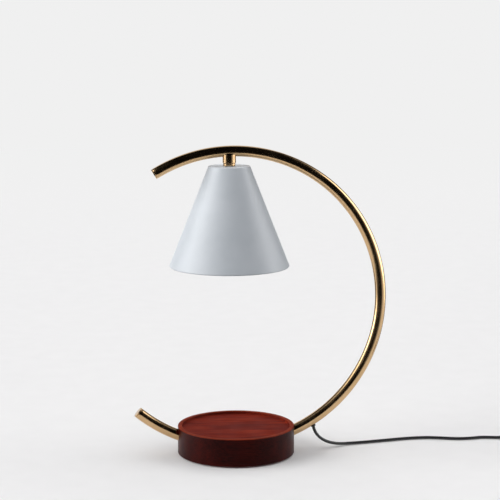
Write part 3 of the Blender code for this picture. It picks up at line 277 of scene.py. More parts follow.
# %% [markdown]
# A finish is a Principled shader with a few constants and two or three patterns. The constants say what
# the stuff is: how metallic, how strongly it bends light. The patterns say how it was made and used:
# grain, orange peel, flow lines, smudges. Colours are written as people pick them on a screen, in sRGB,
# and one function turns them into the linear values that light is added up in. A shader could be built
# anew for each finish, but nearly all of them differ only in these few numbers, so one function does
# it. Patterns read Object coordinates in metres, so that each has its real size.

# %% Finishes: colour, nodes and the common start
def colour(code):
    """Linear colour of an sRGB hex value: v/12.92 below 0.04045, and ((v + 0.055)/1.055)^2.4 above it."""
    value = np.array([int(code[i : i + 2], 16) for i in (1, 3, 5)]) / 255
    return (*np.where(value < 0.04045, value / 12.92, ((value + 0.055) / 1.055) ** 2.4), 1.0)


def add(tree, kind, inputs=None, out=0, stops=None, **settings):
    """Add one node and return one of its outputs. Settings are its own properties, inputs are values or
    other nodes' outputs, and stops fill a ramp."""
    node = tree.nodes.new("ShaderNode" + kind)
    for name, value in settings.items():
        setattr(node, name, value)
    for name, value in (inputs or {}).items():
        if isinstance(value, bpy.types.NodeSocket):
            tree.links.new(value, node.inputs[name])
        else:
            node.inputs[name].default_value = value
    for number, (place, code) in enumerate((stops or {}).items()):
        ramp = node.color_ramp.elements
        stop = ramp[number] if number < 2 else ramp.new(place)
        stop.position, stop.color = place, colour(code)
    return node.outputs[out]


def finish(name, constants, shades, tone, rough, marks, deep, wear=None):
    """A finish. Shades follow the tone pattern, roughness goes from low to high
    with the wear pattern, which is the tone's unless it is given, and marks make a bump of a depth in
    metres. A pattern is cloudy noise, as its size in metres, detail and stretch along X, Y and Z, or two
    such noises to be averaged, or a function that draws it."""
    made = bpy.data.materials.new(name)
    made.use_nodes = True
    tree, drawn = made.node_tree, {}
    shader = tree.nodes["Principled BSDF"]
    for socket, value in constants.items():
        shader.inputs[socket].default_value = value
    where = add(tree, "TexCoord", out="Object")

    def draw(pattern):
        """The pattern's output, made once. Noise gets one cloud in each length of its size and stretch."""
        if pattern in drawn:
            return drawn[pattern]
        if callable(pattern):
            drawn[pattern] = pattern(tree)
        elif isinstance(pattern[0], tuple):
            both = add(tree, "Math", {0: draw(pattern[0]), 1: draw(pattern[1])}, operation="ADD")
            drawn[pattern] = add(tree, "Math", {0: both, 1: 0.5}, operation="MULTIPLY")
        else:
            # a pattern that leaves them out has a detail of 3 and no stretch
            size, detail, stretch = pattern + (3.0, (1, 1, 1))[len(pattern) - 1 :]
            scale = [1 / (size * longer) for longer in stretch]
            moved = add(tree, "Mapping", {"Vector": where, "Scale": scale})
            drawn[pattern] = add(tree, "TexNoise", {"Vector": moved, "Scale": 1.0, "Detail": detail})
        return drawn[pattern]

    ramp = add(tree, "ValToRGB", {"Fac": draw(tone)}, stops=shades)
    spread = {"From Min": 0.3, "From Max": 0.7, "To Min": rough[0], "To Max": rough[1]}
    gloss = add(tree, "MapRange", {"Value": draw(wear or tone), **spread})
    bump = add(tree, "Bump", {"Height": draw(marks), "Distance": deep, "Strength": 1.0})
    for socket, source in (("Base Color", ramp), ("Roughness", gloss), ("Normal", bump)):
        tree.links.new(source, shader.inputs[socket])
    print("finish:", name)
    return made


def on_the_run(scale, detail):
    """A pattern function for a scale, which is per turn round and per metre along, and a detail."""
    def draw(tree):
        """Noise at the Run map's two values times the scale."""
        run = add(tree, "Mapping", {"Vector": add(tree, "UVMap", uv_map="Run"), "Scale": scale})
        return add(tree, "TexNoise", {"Vector": run, "Scale": 1.0, "Detail": detail})
    return draw


print("mid grey #808080 is", round(colour("#808080")[0], 3), "in linear light")

# %% [markdown]
# The cord's sheath is soft black PVC, pushed through a die: satin, with faint lines along its length and
# a dusting of fine matt where it has been handled. The lines are stretched noise on the Run map, so they
# follow the cord through every bend, which Object coordinates would not. They are really a tenth of a
# millimetre apart and are drawn three times as coarse, or the render would lose them.

# %% Finish: extruded black PVC
pvc = finish(  # a soft dark shine that breaks into fine lines
    "extruded black PVC", {"IOR": 1.53}, {0.3: "#101011", 0.7: "#1B1B1D"}, (0.02,),
    (0.34, 0.5), on_the_run((34.0, 60.0, 1.0), 2.0), 0.00006,
)

# %% [markdown]
# The free cord leaves the tube through its bush, hangs down onto the table and runs to a small dimmer,
# then on to a coil and the plug. Its centreline repeats the CAD route point by point, with more points
# between them. A cord could be a curve with a bevel depth. A mesh tube around the same line is chosen
# because its Run map then gives the flow lines a true length.

# %% The cord's two routes, in metres
cord_radius, cord_room, tube_radius, tube_bore = 0.0017, 0.0003, 0.006, 0.005
lying, housing, plug_z = 0.0018, (0.022, 0.0075), 0.0065  # heights; the dimmer's axis as Y and height
arc_middle, arc_radius = np.array([-0.0025, 0.0, 0.1742]), 0.1645
bush_angle, bush_lean = math.radians(-57.74), math.radians(15)


def on_arc(angle, offset=0.0):
    """A point of the tube's centreline, or offset outwards from it."""
    return arc_middle + (arc_radius + offset) * np.array([math.cos(angle), 0, math.sin(angle)])


bush_at = on_arc(bush_angle)
bush_ahead = np.array([math.sin(bush_lean), 0, -math.cos(bush_lean)])
tube_surface = tube_radius / (bush_ahead @ np.array([math.cos(bush_angle), 0, math.sin(bush_angle)]))
bush_start, bush_end = tube_surface - 0.0024, tube_surface + 0.0012

leave = bush_at + bush_ahead * (bush_end + cord_room)
run_route = [
    tuple(leave), (0.0884, 0.0008, 0.0238), (0.0912, 0.002, 0.0184), (0.0962, 0.004, 0.0128),
    (0.1035, 0.0068, 0.0079), (0.1125, 0.0102, 0.0045), (0.1222, 0.0138, 0.0026),
    (0.1335, 0.0175, 0.0019), (0.149, 0.0203, lying), (0.1709, 0.0249, lying), (0.1929, 0.0298, lying),
    (0.2109, 0.0323, lying), (0.2261, 0.032, lying), (0.2395, 0.0289, lying), (0.252, 0.0251, lying),
    (0.2628, 0.0234, lying), (0.2745, 0.0243, lying), (0.2874, 0.0266, lying), (0.2985, 0.0249, lying),
    (0.309, 0.0226, 0.0022), (0.3215, 0.0218, 0.0047), (0.3335, 0.022, 0.0073),
    (0.34, *housing), (0.3485, *housing), (0.3585, *housing),
]
turns, layers, pitch, coil_x, coil_y, mean_radius = 10.5, 4, 0.00385, 0.37, -0.03485, 0.0204


def coil_line(points_each):
    """Turns whose radius goes in and out layer by layer. The height climbs one pitch in the half turn in
    which the radius turns back."""
    turn = np.arange(turns * points_each + 1) / points_each
    each = turns / layers
    layer = np.minimum(np.floor(turn / each), layers - 1)
    share = turn / each - layer
    inward = np.where(layer % 2 == 0, share, 1 - share)
    radius = mean_radius + each * pitch * (1 / 2 - inward)
    rise = np.clip(2 * (turn[:, None] - np.arange(1, layers) * each) + 1 / 2, 0, 1)
    height = cord_radius + 0.0011 + pitch * (rise**2 * (3 - 2 * rise)).sum(1)
    angle = math.pi / 2 + math.tau * turn
    line = turned(radius, angle, height) + (coil_x, coil_y, 0)
    straight = np.array([2 * cord_radius, 0, 0])
    return np.vstack([line[:1] + straight, line, line[-1:] + straight])


coil = coil_line(72)
tail_y = coil[-1][1]
link_route = [
    (0.4015, *housing), (0.4115, *housing), (0.42, *housing), (0.4275, 0.022, 0.0073),
    (0.4347, 0.0208, 0.006), (0.4405, 0.0175, 0.0045), (0.4441, 0.0118, 0.003), (0.4446, 0.0042, 0.0021),
    (0.4415, -0.0032, lying), (0.4355, -0.0079, lying), (0.4275, -0.0095, lying), (0.414, -0.0094, lying),
    (0.4, -0.0094, 0.0019), (0.388, -0.0094, 0.0025), tuple(coil[0] + (cord_room, 0, 0)),
]
tail_route = [
    tuple(coil[-1] + (cord_room, 0, 0)), (0.3835, tail_y, 0.0132), (0.391, tail_y, 0.0102),
    (0.398, tail_y, 0.0075), (0.4045, tail_y, 0.0066), (0.413, tail_y, plug_z), (0.425, tail_y, plug_z),
    (0.433, tail_y, plug_z),
]
first_line = smooth(run_route, 6)
second_line = np.vstack([smooth(link_route, 5), coil, smooth(tail_route, 5)])

# %% Lay the cords
cord_run = show("cord_to_dimmer", hose(first_line, cord_radius, (0, 0, 1)), pvc, ["cord_run"])
cord_rest = show(
    "cord_to_plug", hose(second_line, cord_radius, (0, 0, 1), 16), pvc,
    ["cord_link", "cord_coil", "cord_tail"],
)

# %% [markdown]
# A strain relief is a tapered sleeve of softer rubber with slots that lie crosswise, first on two sides
# and then on the other two, so that it bends more and more easily towards its thin end. The slots are
# one formula: a dip in the radius wherever a slot's place along the sleeve meets its place round it.
# The dimmer's shells and the plug are injection moulded, so their finish is a fine spark-eroded grain,
# drawn at half a millimetre because the real tenth would vanish.

# %% Finish: moulded black plastic and soft rubber
def moulded(name, shades, rough, grain_size, grain_deep):
    """Plastic out of an eroded mould: an even colour, a fine grain and slightly shinier worn patches."""
    grain = (grain_size, 2.0)
    return finish(name, {"IOR": 1.5}, shades, (0.012,), rough, grain, grain_deep)


# hard and even, with a sparkle of grain; the rubber beside it drinks the light
black_abs = moulded(
    "moulded black ABS", {0.3: "#121213", 0.7: "#1C1C1E"}, (0.36, 0.52), 0.0005, 0.00003
)
soft_rubber = moulded(
    "moulded black rubber", {0.3: "#0E0E0F", 0.7: "#191919"}, (0.55, 0.72), 0.0006, 0.00003
)

# %% Strain reliefs
def sleeve(at, ahead):
    """Radius from 3.4 to 2.6 mm over 20 mm, less 0.8 mm in the slots of seven rows, turn about on two
    pairs of sides."""
    along, angle = np.linspace(0, 20, 161)[:, None], all_round(64)
    row = (along - 2.6) / 2.4
    number = np.clip(np.round(row), 0, 6)
    in_row = np.clip(3.2 - 9 * abs(row - number), 0, 1)
    on_side = np.clip(3 * (np.cos(2 * (angle + number * math.pi / 2)) + 0.35), 0, 1)
    radius = 3.4 - 0.04 * along - 0.8 * in_row * on_side
    thick_end, thin_end = np.clip(1 - along / 0.5, 0, 1) ** 2, np.clip((along - 19.5) / 0.5, 0, 1) ** 2
    outer = turned(radius - 0.5 * thick_end - 0.5 * thin_end, angle, along)
    inner = lathe([(1.95, 20), (1.95, 0)], 64) / mm
    return aimed(mm * np.concatenate([outer, inner, outer[:1]]), at, ahead)


for name, node, at, way in (
    ("relief_in", "dimmer_relief_in", (0.3547, *housing), -1),
    ("relief_out", "dimmer_relief_out", (0.4053, *housing), 1),
    ("relief_plug", "plug_relief", (0.425, tail_y, plug_z), -1),
):
    show(name, sleeve(at, (way, 0, 0)), soft_rubber, [node])

# %% [markdown]
# The in-line dimmer is two shells that meet at mid height, with a ribbed wheel between them that shows
# at the front. Each shell is a plan with round corners, carried up a profile whose edge is soft outside
# and sharp at the parting line. The hollow, the wheel's slot and the cord's way are cut out of them.

# %% Dimmer shells
dimmer_at, dimmer_high, wheel_at, wheel_radius = (380.0, 22.0), 15, (384.0, 18.0), 10
dimmer_screws = {"left": (361.8, 28.3), "right": (398.2, 28.3)}
outer_plan, inner_plan = rounded_plan(50, 22, 6), rounded_plan(47, 19, 4.5)
cord_way = aimed(bar(2.0, -40, 40), (0.380, *housing), (1, 0, 0))
wheel_way = bar(wheel_radius + 0.5, 7.1, 11.3, wheel_at, 96)
seats = [bar(2.1, -1, 1.9, at) for at in dimmer_screws.values()]
lower = slab(outer_plan, 0, 7.35, 1.4, 0.15, 4, dimmer_at)
lower = show("dimmer_lower", lower, black_abs, ["dimmer_base"])
cut(lower, slab(inner_plan, 1.5, 9, 0.1, 0.1, 3, dimmer_at), cord_way, wheel_way, *seats)
upper = slab(outer_plan, 7.65, dimmer_high, 0.15, 2.6, 4, dimmer_at)
upper = show("dimmer_upper", upper, black_abs, ["dimmer_cover"])
cut(upper, slab(inner_plan, 6, dimmer_high - 1.5, 0.1, 1.5, 3, dimmer_at), cord_way, wheel_way)


# %% Dimmer wheel
def ribbed_wheel():
    """A softened disc with a rim that dips by 0.55*(0.5 + 0.5*cos(ribs*a))^2, and less further in."""
    ribs, low, high = 22, 7.4, 11
    loop = [(5, low), (wheel_radius, low), (wheel_radius, high), (1.8, high), (1.8, low), (5, low)]
    grid, angle = lathe(softened(loop, 0.45), ribs * 14) / mm, all_round(ribs * 14)[..., None]
    radius = np.linalg.norm(grid[:, :, :2], axis=2)[:, :, None]
    dip = 0.55 * (0.5 + 0.5 * np.cos(ribs * angle)) ** 2 * (radius / wheel_radius) ** 10
    flat = grid[:, :, :2] * (1 - dip / radius) + wheel_at
    return mm * np.concatenate([flat, grid[:, :, 2:]], 2)


show("ribbed_wheel", ribbed_wheel(), soft_rubber, ["dimmer_wheel"], "dimmer_knob")

# %% [markdown]
# The dimmer's top carries one raised wedge, thin for dim and thick for bright, beside the wheel. It is
# a row of circles whose radius grows along a line, flattened to a third of its height.

# %% Wedge mark on the dimmer
share, angle = np.linspace(0, 1, 25)[:, None], all_round(24)
thick = (0.15 + 0.85 * share) * np.sqrt(np.clip(1 - (2 * share - 1) ** 12, 0, 1))
y, z = 15.4 + thick * np.cos(angle), dimmer_high + 0.3 * thick * np.sin(angle)
show("dimmer_mark", mm * np.stack([377 + 14 * share + 0 * angle, y, z], -1), black_abs, [])

# %% [markdown]
# The plug's body is one moulding whose section changes from a small round neck to a wide soft
# rectangle. Its sections are superellipses, |y/w|^4 + |z/h|^4 = 1, with w and h as functions of the way
# along, and four shallow dips for the fingers.

# %% Plug body
def plug_shape():
    """Sections along X: the half width eases from 6 to 11 mm and the half height from 5 to 6.5 mm."""
    along = np.concatenate([[0, 0], 26 * (1 - np.cos(np.linspace(0, math.pi, 90))) / 2, [26, 26]])
    ease = np.clip(along / 9.1, 0, 1)
    ease = ease * ease * (3 - 2 * ease)
    neck = np.clip(1 - np.clip(1 - along / 2.2, 0, 1) ** 2.5, 0, 1)
    face = np.clip(1 - 0.2 * np.clip((along - 24.2) / 1.8, 0, 1) ** 3, 0, 1)
    end = np.where(along == 0, 0.55, np.maximum(neck * face, 0.55))
    end[0] = end[-1] = 0
    gripped = (along > 11.5) & (along < 22)
    grip = 0.45 * np.clip(np.cos((along - 12.5) * math.tau / 2.8), 0, 1) ** 0.7 * gripped
    width = (6 + 5 * ease) * end - grip * (end > 0)
    height = (5 + 1.5 * ease) * end - 0.6 * grip * (end > 0)
    angle = all_round(96)
    size = (abs(np.cos(angle)) ** 4 + abs(np.sin(angle)) ** 4) ** -0.25
    across, up = width[:, None] * size * np.cos(angle), height[:, None] * size * np.sin(angle)
    return mm * np.stack([425.3 + along[:, None] + 0 * angle, tail_y / mm + across, 6.5 + up], -1)


show("plug_moulding", plug_shape(), black_abs, ["plug_body"])

# %% [markdown]
# Metals share one start: a conductor's colour, low roughness and very fine marks. Brushed or drawn metal
# has marks along one direction, plated steel has a soft cloudiness, and cast iron has a pebbled skin.
# Only the colours, the roughness and the size and stretch of the marks change, so one function makes
# them all. Real polishing marks are some hundredths of a millimetre wide and are drawn at a third of
# a millimetre, the finest that the render can show.

# %% Finish: metals
def metal(name, shades, rough, mark_size, mark_deep, stretch=(1, 1, 1)):
    """A conductor with cloudy colour and roughness, and fine marks that may be longer one way."""
    marks = (mark_size, 4.0, stretch)
    return finish(name, {"Metallic": 1.0}, shades, (0.015,), rough, marks, mark_deep)


# a cool silky shine on the blades, a bluish frost on the bolts, a dull pebbled grey on the castings and
# a plain yellow glint on the contacts
nickel = metal(
    "nickel plated brass", {0.3: "#B9B6AE", 0.7: "#CFCCC4"}, (0.16, 0.3), 0.0004, 0.000004,
    (12, 1, 1),
)
zinc = metal("zinc plated steel", {0.3: "#A7ABAE", 0.7: "#C6CACC"}, (0.26, 0.42), 0.0012, 0.00001)
iron = metal("cast iron", {0.3: "#2E2D2C", 0.7: "#46433F"}, (0.55, 0.75), 0.0015, 0.0001)
raw_brass = metal("stamped brass", {0.3: "#B08B4C", 0.7: "#C9A35E"}, (0.28, 0.42), 0.0005, 0.000006)


# %% [markdown]
# The two blades are stamped from brass and nickel plated, with a tapered tip and a round hole. A box
# with a bevel would lack the taper, so each blade is a flat plan with soft edges, laid on its side.

# %% Plug blades
def stood_up(grid, x, y):
    """A flat form laid on its edge: its own Y goes down and its own Z goes across."""
    return np.stack([x + grid[..., 0], mm * y + tail_y + grid[..., 2], plug_z - grid[..., 1]], -1)


blade_plan = [(0, -3.15), (21, -3.15), (23.5, -1.7), (23.5, 1.7), (21, 3.15), (0, 3.15), (0, -3.15)]
blade = slab(softened(blade_plan, 0.8, 6)[:-1], -0.75, 0.75, 0.3, 0.3, 0.6)
drill = bar(1.55, -3, 3) * (1, -1, 1)
for side, y in (("left", -6.35), ("right", 6.35)):
    piece = show(f"blade_{side}", stood_up(blade, 0.4443, y), nickel, [f"plug_blade_{side}"])
    cut(piece, stood_up(drill, 0.4638, y))

# %% [markdown]
# The coil is held by a strap of woven nylon, passed round it on the side towards the lamp. The strap is
# its cross-section, thin and wide with round edges, carried along a closed rounded rectangle. Its weave
# is two sine waves across each other on the Run map, raised where warp passes over weft.

# %% Finish: woven nylon
thread, strap_around = 0.0008, 0.0176


def weave(tree):
    """A plain weave: the product of two sines on the Run map, one along the strap and one across it."""
    run = add(tree, "SeparateXYZ", {"Vector": add(tree, "UVMap", uv_map="Run")}).node.outputs
    waves = []
    for way, turns_per_metre in (("X", math.pi * strap_around / thread), ("Y", math.pi / thread)):
        angle = add(tree, "Math", {0: run[way], 1: turns_per_metre}, operation="MULTIPLY")
        waves.append(add(tree, "Math", {0: angle}, operation="SINE"))
    product = add(tree, "Math", {0: waves[0], 1: waves[1]}, operation="MULTIPLY")
    return add(tree, "MapRange", {"Value": product, "From Min": -1.0, "From Max": 1.0})


nylon = finish(  # a dull cloth black with a soft sheen and a checked texture
    "woven black nylon", {"IOR": 1.53, "Sheen Weight": 0.25},
    {0.0: "#0B0B0C", 1.0: "#232325"}, weave, (0.6, 0.8), weave, 0.00015, (0.004,),
)


# %% Strap round the coil
def strap():
    """A section 8 by 0.8 mm carried along a rounded rectangle that is 16.9 by 17.2 mm outside."""
    middle, width, height, half_thick = 349.6, 16.9063, 17.15, 0.4
    line = rounded_plan(width - 2 * half_thick, height - 2 * half_thick, 3.3, 16)
    line = np.vstack([line, line[:1]])
    over_the_join = line[1:2] - line[-2:-1]
    along = np.vstack([over_the_join, line[2:] - line[:-2], over_the_join])
    out = np.stack([along[:, 1], -along[:, 0]], 1) / np.linalg.norm(along, axis=1)[:, None]
    angle = all_round(48)[0]
    size = (abs(np.cos(angle)) ** 8 + abs(np.sin(angle)) ** 8) ** (-1 / 8)
    across, proud = 4 * size * np.cos(angle), half_thick * size * np.sin(angle)
    flat = line[:, None] + proud[None, :, None] * out[:, None]
    y = np.broadcast_to(across, flat.shape[:2])
    return mm * np.stack([middle + flat[..., 0], coil_y / mm + y, height / 2 + flat[..., 1]], -1)


show("coil_strap", strap(), nylon, ["cord_tie"])

# %% [markdown]
# The dish is hardwood turned on a lathe, stained a deep mahogany red and lacquered. Wood has grain that
# runs straight through the blank, so the streaks are noise stretched along X in Object coordinates,
# like a plank, and not wrapped round the dish as a texture would be. The floor is matt and shows the
# stain's red. The upright side keeps a satin shine and is painted darker and cooler, as painted shade.
# The arris of the rim is painted a little lighter, as a painted highlight, with lacquer worn thin there
# too. Streaks are about 1.2 mm wide, coarser than real pores.

# %% Finish: lacquered mahogany
side_starts, side_full, arris_low, arris_high = 0.0600, 0.0612, 0.0308, 0.0316


def lacquered_mahogany():
    """Streaks along X over broad bands, then painted shade on a glossier upright side and a painted highlight
    on the arris.
    """
    streaks, bands = (0.0012, 5.0, (22, 1, 1)), (0.011, 2.0, (7, 1, 1.6))
    made = finish(
        "lacquered mahogany", {"IOR": 1.5, "Specular IOR Level": 0.08},
        {0.34: "#4C0F07", 0.5: "#6E1908", 0.66: "#902C10"}, (streaks, bands), (0.68, 0.78), streaks,
        0.00004, (0.02,),
    )
    tree, shader = made.node_tree, made.node_tree.nodes["Principled BSDF"]
    where, facing = add(tree, "TexCoord", out="Object"), add(tree, "NewGeometry", out="Normal")
    facing = add(tree, "SeparateXYZ", {"Vector": facing}, "Z")
    upright = {"Value": facing, "From Min": 0.15, "From Max": 0.7, "To Min": 1.0, "To Max": 0.0}
    outward = add(tree, "VectorMath", {0: where, 1: (1.0, 1.0, 0.0)}, operation="MULTIPLY")
    outward = add(tree, "VectorMath", {0: outward}, "Value", operation="LENGTH")
    edge = add(tree, "MapRange", {"Value": outward, "From Min": side_starts, "From Max": side_full})
    side = add(tree, "Math", {0: add(tree, "MapRange", upright), 1: edge}, operation="MULTIPLY")
    stain, rough = [shader.inputs[name].links[0].from_socket for name in ("Base Color", "Roughness")]
    rough = add(tree, "Math", {0: side, 1: -0.38, 2: rough}, operation="MULTIPLY_ADD")
    # painted shade: the upright side is multiplied by a cool grey, so it reads darker than the lit floor
    darker = {0: side, 6: stain, 7: colour("#7D5E62")}
    darker = add(tree, "Mix", darker, 2, data_type="RGBA", blend_type="MULTIPLY")
    height = add(tree, "SeparateXYZ", {"Vector": where}, "Z")
    # painted highlight: the rim's arris is mixed towards a lighter red, where the lacquer is also worn thin
    arris = {"Value": height, "From Min": arris_low, "From Max": arris_high, "To Max": 0.3}
    arris = add(tree, "MapRange", arris)
    stain_with_painted_light = add(tree, "Mix", {0: arris, 6: darker, 7: colour("#A04A30")}, 2, data_type="RGBA")
    tree.links.new(rough, shader.inputs["Roughness"])
    tree.links.new(stain_with_painted_light, shader.inputs["Base Color"])
    return made


mahogany = lacquered_mahogany()


# %% Turned dish
def bent(angles, radius, columns=64):
    """Circles of a radius in mm at angles in degrees along the tube's big circle, square to it. A point is
    at (R + r*cos(side)) times the angle's cosine and sine, and r*sin(side) across."""
    angles, radius = np.radians(angles)[:, None], mm * np.broadcast_to(radius, len(angles))[:, None]
    side = all_round(columns)
    out = arc_radius + radius * np.cos(side)
    x, z = arc_middle[0] + out * np.cos(angles), arc_middle[2] + out * np.sin(angles)
    return np.stack([x, radius * np.sin(side), z], -1)


def room_for_tube(first, last, air):
    """The tube's space with some air in mm round it, closed at both ends."""
    angles = np.linspace(first, last, 90)
    radius = np.full(92, tube_radius / mm + air)
    radius[0] = radius[-1] = 0
    return bent(np.concatenate([[first], angles, [last]]), radius)


foot, rim, floor_high, plate_high = 1, 32, 29, 3.1
plate_room, dish_radius, rim_inside = 56.3, 65, 60.2
dish_outline = [
    (0, plate_high), (plate_room, plate_high), (plate_room, foot), (dish_radius, foot),
    (dish_radius, rim), (rim_inside, rim), (rim_inside, floor_high), (0, floor_high),
]
dish_profile = softened(dish_outline, np.array([0.3, 0.4, 1.1, 1.4, 0.9, 1.7]), 9)
dish = show("turned_dish", lathe(dish_profile, 288), mahogany, ["base_dish"])
cut(dish, room_for_tube(-122, -58, 0.25))

# %% [markdown]
# The tube is seamless brass, bent on rollers, polished along its length and lacquered against
# tarnish. What the eye reads is one long bright line and a dark one beside it, which bend with the
# tube, so the surface has to be truly round: the CAD tube has fourteen sides, this one has sixty-four.
# Polishing leaves fine marks, and hands leave broad smudges, which change only the roughness.

# %% Finish: polished brass
def polished_brass(name, marks):
    """Warm metal under thin clear lacquer, with marks that follow the Run map, and smudges in the gloss."""
    lacquered = {"Metallic": 1.0, "Coat Weight": 0.2, "Coat Roughness": 0.06}
    shades, lines = {0.3: "#CDAA7C", 0.7: "#D8B588"}, on_the_run(marks, 3.0)
    return finish(name, lacquered, shades, (0.018,), (0.13, 0.21), lines, 0.0000015)


drawn_brass = polished_brass("brass polished along its length", (60.0, 40.0, 1.0))
turned_brass = polished_brass("brass turned and polished", (3.0, 2500.0, 1.0))

# %% Bent tube and its two end plugs
rod_at, rod_room = (-7, 0), 5.1
first, last, edge = -130.1, 121.4, 0.25  # the tube's ends in degrees, and how far its edges are softened
trim = math.degrees(mm * edge / arc_radius)
long_way = np.linspace(first + trim, last - trim, 300)
outside = np.concatenate([[first, first + trim / 2], long_way, [last - trim / 2, last]])
outside_radius = np.concatenate([[5.75, 5.93], np.full(300, tube_radius / mm), [5.93, 5.75]])
angles = np.concatenate([outside, np.linspace(last, first, 120), [first]])
radii = np.concatenate([outside_radius, np.full(120, tube_bore / mm), [5.75]])
tube = show("bent_tube", bent(angles, radii), drawn_brass, ["arc_tube"])
bush_hole, rod_hole = aimed(bar(3.1, 0, 12), bush_at, bush_ahead), bar(rod_room, 322, 338.6, rod_at)
insert_holes = [bar(3.5, 1.8, 13.8, (arc_middle[0] / mm + x, 0)) for x in (-27.44, 27.44)]
cut(tube, bush_hole, rod_hole, *insert_holes)
plug_outline = [(0, -3.5), (4.4, -3.5), (4.4, 0.3), (6, 0.3), (6, 1.5), (0, 1.5)]
plug_profile = softened(plug_outline, np.array([0.3, 0.1, 0.2, 0.5]))
for name, turn, way in (("top", last, 1), ("stub", first, -1)):
    turn = math.radians(turn)
    ahead = way * np.array([-math.sin(turn), 0, math.cos(turn)])
    cap = aimed(lathe(plug_profile, 64), on_arc(turn), ahead)
    show(f"tube_cap_{name}", cap, turned_brass, [f"end_plug_{name}"])

# %% [markdown]
# The cord leaves through a rubber bush, which keeps the hole's metal edge off the sheath.

# %% Bush for the cord
low, high = -bush_end / mm, -bush_start / mm
lip = [(2.4, low), (2.8, low), (2.8, high), (2.0, high), (2.0, low), (2.4, low)]
bush_grid = lathe(softened(lip, 0.3, 5), 64) * (1, 1, -1)
show("cord_bush", aimed(bush_grid, bush_at, bush_ahead), soft_rubber, ["grommet"])

# %% [markdown]
# Under the tube sits a turned collar, and below it a slimmer ring. Both are bar brass, faced and
# polished, so they share the tube's finish. The collar's top is cut to the tube's own curve, with
# 0.08 mm of air, so that it rises at its two sides like a saddle and covers the hole for the rod.

# %% Collar and ring
collar = ringed(rod_room, 7.3, 325.84, 335.3, 0.35, 128, rod_at)
cut(show("turned_collar", collar, turned_brass, ["boss_collar"]), room_for_tube(80, 104, 0.08))
ring = ringed(rod_room, 6.7, 322.64, 325.54, 0.35, 128, rod_at)
show("turned_ring", ring, turned_brass, ["spacer_ring"])

# %% [markdown]
# The shade is steel, spun over a former into a cone, its mouth rolled into a bead for stiffness, and
# powder coated in a cool satin white. Powder melts into a skin with a very slight ripple called orange
# peel, about a millimetre across and a hundredth deep: enough to soften a reflection and no more.

# %% Finish: satin powder coat
powder = finish(  # a cool white that rolls softly from light to shade
    "satin white powder coat", {"IOR": 1.5}, {0.3: "#CBD1D6", 0.7: "#D3D8DD"}, (0.03,),
    (0.36, 0.46), (0.0011, 1.0), 0.00003,
)


# %% Spun shade
def shade_profile():
    """From the bead round the mouth up the outside, over the shoulder, in to the rod and down the inside."""
    mouth, top, tall = 66, 23.2, 111
    slope = math.atan2(mouth - top, tall)
    bead = np.linspace(math.pi + slope, math.tau + slope, 17)
    shoulder = np.linspace(slope, math.pi / 2, 11)
    outer = (64.9, 212.44) + 1.1 * np.stack([np.cos(bead), np.sin(bead)], 1)
    over = (22.0, 321.14) + 1.2 * np.stack([np.cos(shoulder), np.sin(shoulder)], 1)
    thick, ceiling = 1 / math.cos(slope), 321.34
    inner = [(rod_room, 322.34), (rod_room, ceiling), (top - thick - 0.4, ceiling), (top - thick, 320.9)]
    low = (mouth - thick - 2.2 * math.tan(slope), 213.54)
    return np.vstack([outer, over, inner, [low], outer[:1]])


show("spun_shade", lathe(shade_profile(), 288, rod_at), powder, ["shade"])

# %% [markdown]
# Under the shade's top, a washer and a nut clamp the shade on a hollow threaded rod, and a bracket with
# its own nut carries the lamp holder on two sleeves. These are bought parts in zinc plated steel. A
# nut's corners are cut back by a cone, which is the smaller of two radii at each height and angle, and
# a thread is a ridge whose place along the rod moves with the angle.

# %% Nuts, rod, washer, bracket and sleeves
def hex_nut(low, high):
    """The radius is the smaller of the flat's distance over the cosine of the angle to it, and a cone."""
    angle, height = all_round(144), np.concatenate([[low], np.linspace(low, high, 25), [high]])[:, None]
    flat = 8.1 * math.cos(math.pi / 6)
    six = flat / np.cos(angle % (math.pi / 3) - math.pi / 6)
    radius = np.minimum(six, flat - 0.1 + 1.8 * np.minimum(height - low, high - height))
    radius[0] = radius[-1] = rod_room
    radius, height = np.vstack([radius, radius[:1]]), np.vstack([height, height[:1]])
    return mm * (turned(radius, angle, height) + (*rod_at, 0))


def threaded_rod():
    """Radius 4.8 mm less 0.3 mm in a groove of 1 mm pitch that winds with the angle, round a 7 mm bore."""
    angle, height, bore = all_round(64), np.linspace(rod_low, rod_high, 280)[:, None], 3.5
    wind = abs((height - angle / math.tau) % 1 - 0.5) * 2
    outer = turned(4.8 - 0.3 * wind, angle, height)
    inner = lathe([(bore, rod_high), (bore, rod_low)], 64) / mm
    return mm * (np.concatenate([outer, inner, outer[:1]]) + (*rod_at, 0))


rod_low, rod_high, holder_xs = 311.44, 334.64, {"left": -18.8, "right": 4.8}
show("clamp_washer", ringed(rod_room, 9.5, 320.24, 321.04, 0.15, 96, rod_at), zinc, ["lock_washer"])
show("clamp_nut", hex_nut(316.94, 319.94), zinc, ["shade_nut"])
show("carrier_nut", hex_nut(312.14, 315.14), zinc, ["bracket_nut"])
show("threaded_rod", threaded_rod(), zinc, ["nipple"])
carrier = slab(rounded_plan(31, 15, 4), 315.44, 316.64, 0.25, 0.25, 2, rod_at)
holes = [bar(size, 313, 319, (rod_at[0] + x, 0)) for x, size in ((0, rod_room), (-11.8, 1.8), (11.8, 1.8))]
cut(show("carrier", carrier, zinc, ["holder_bracket"]), *holes)
for side, x in holder_xs.items():
    sleeve_grid = ringed(1.8, 2.9, 304.64, 315.14, 0.2, 64, (x, 0))
    show(f"sleeve_{side}", sleeve_grid, zinc, [f"holder_sleeve_{side}"])

# %% [markdown]
# Screws have a pan head with a crossed recess. The recess is a dip in the head's height wherever a point
# lies close to either arm of the cross, so it needs no cutting.

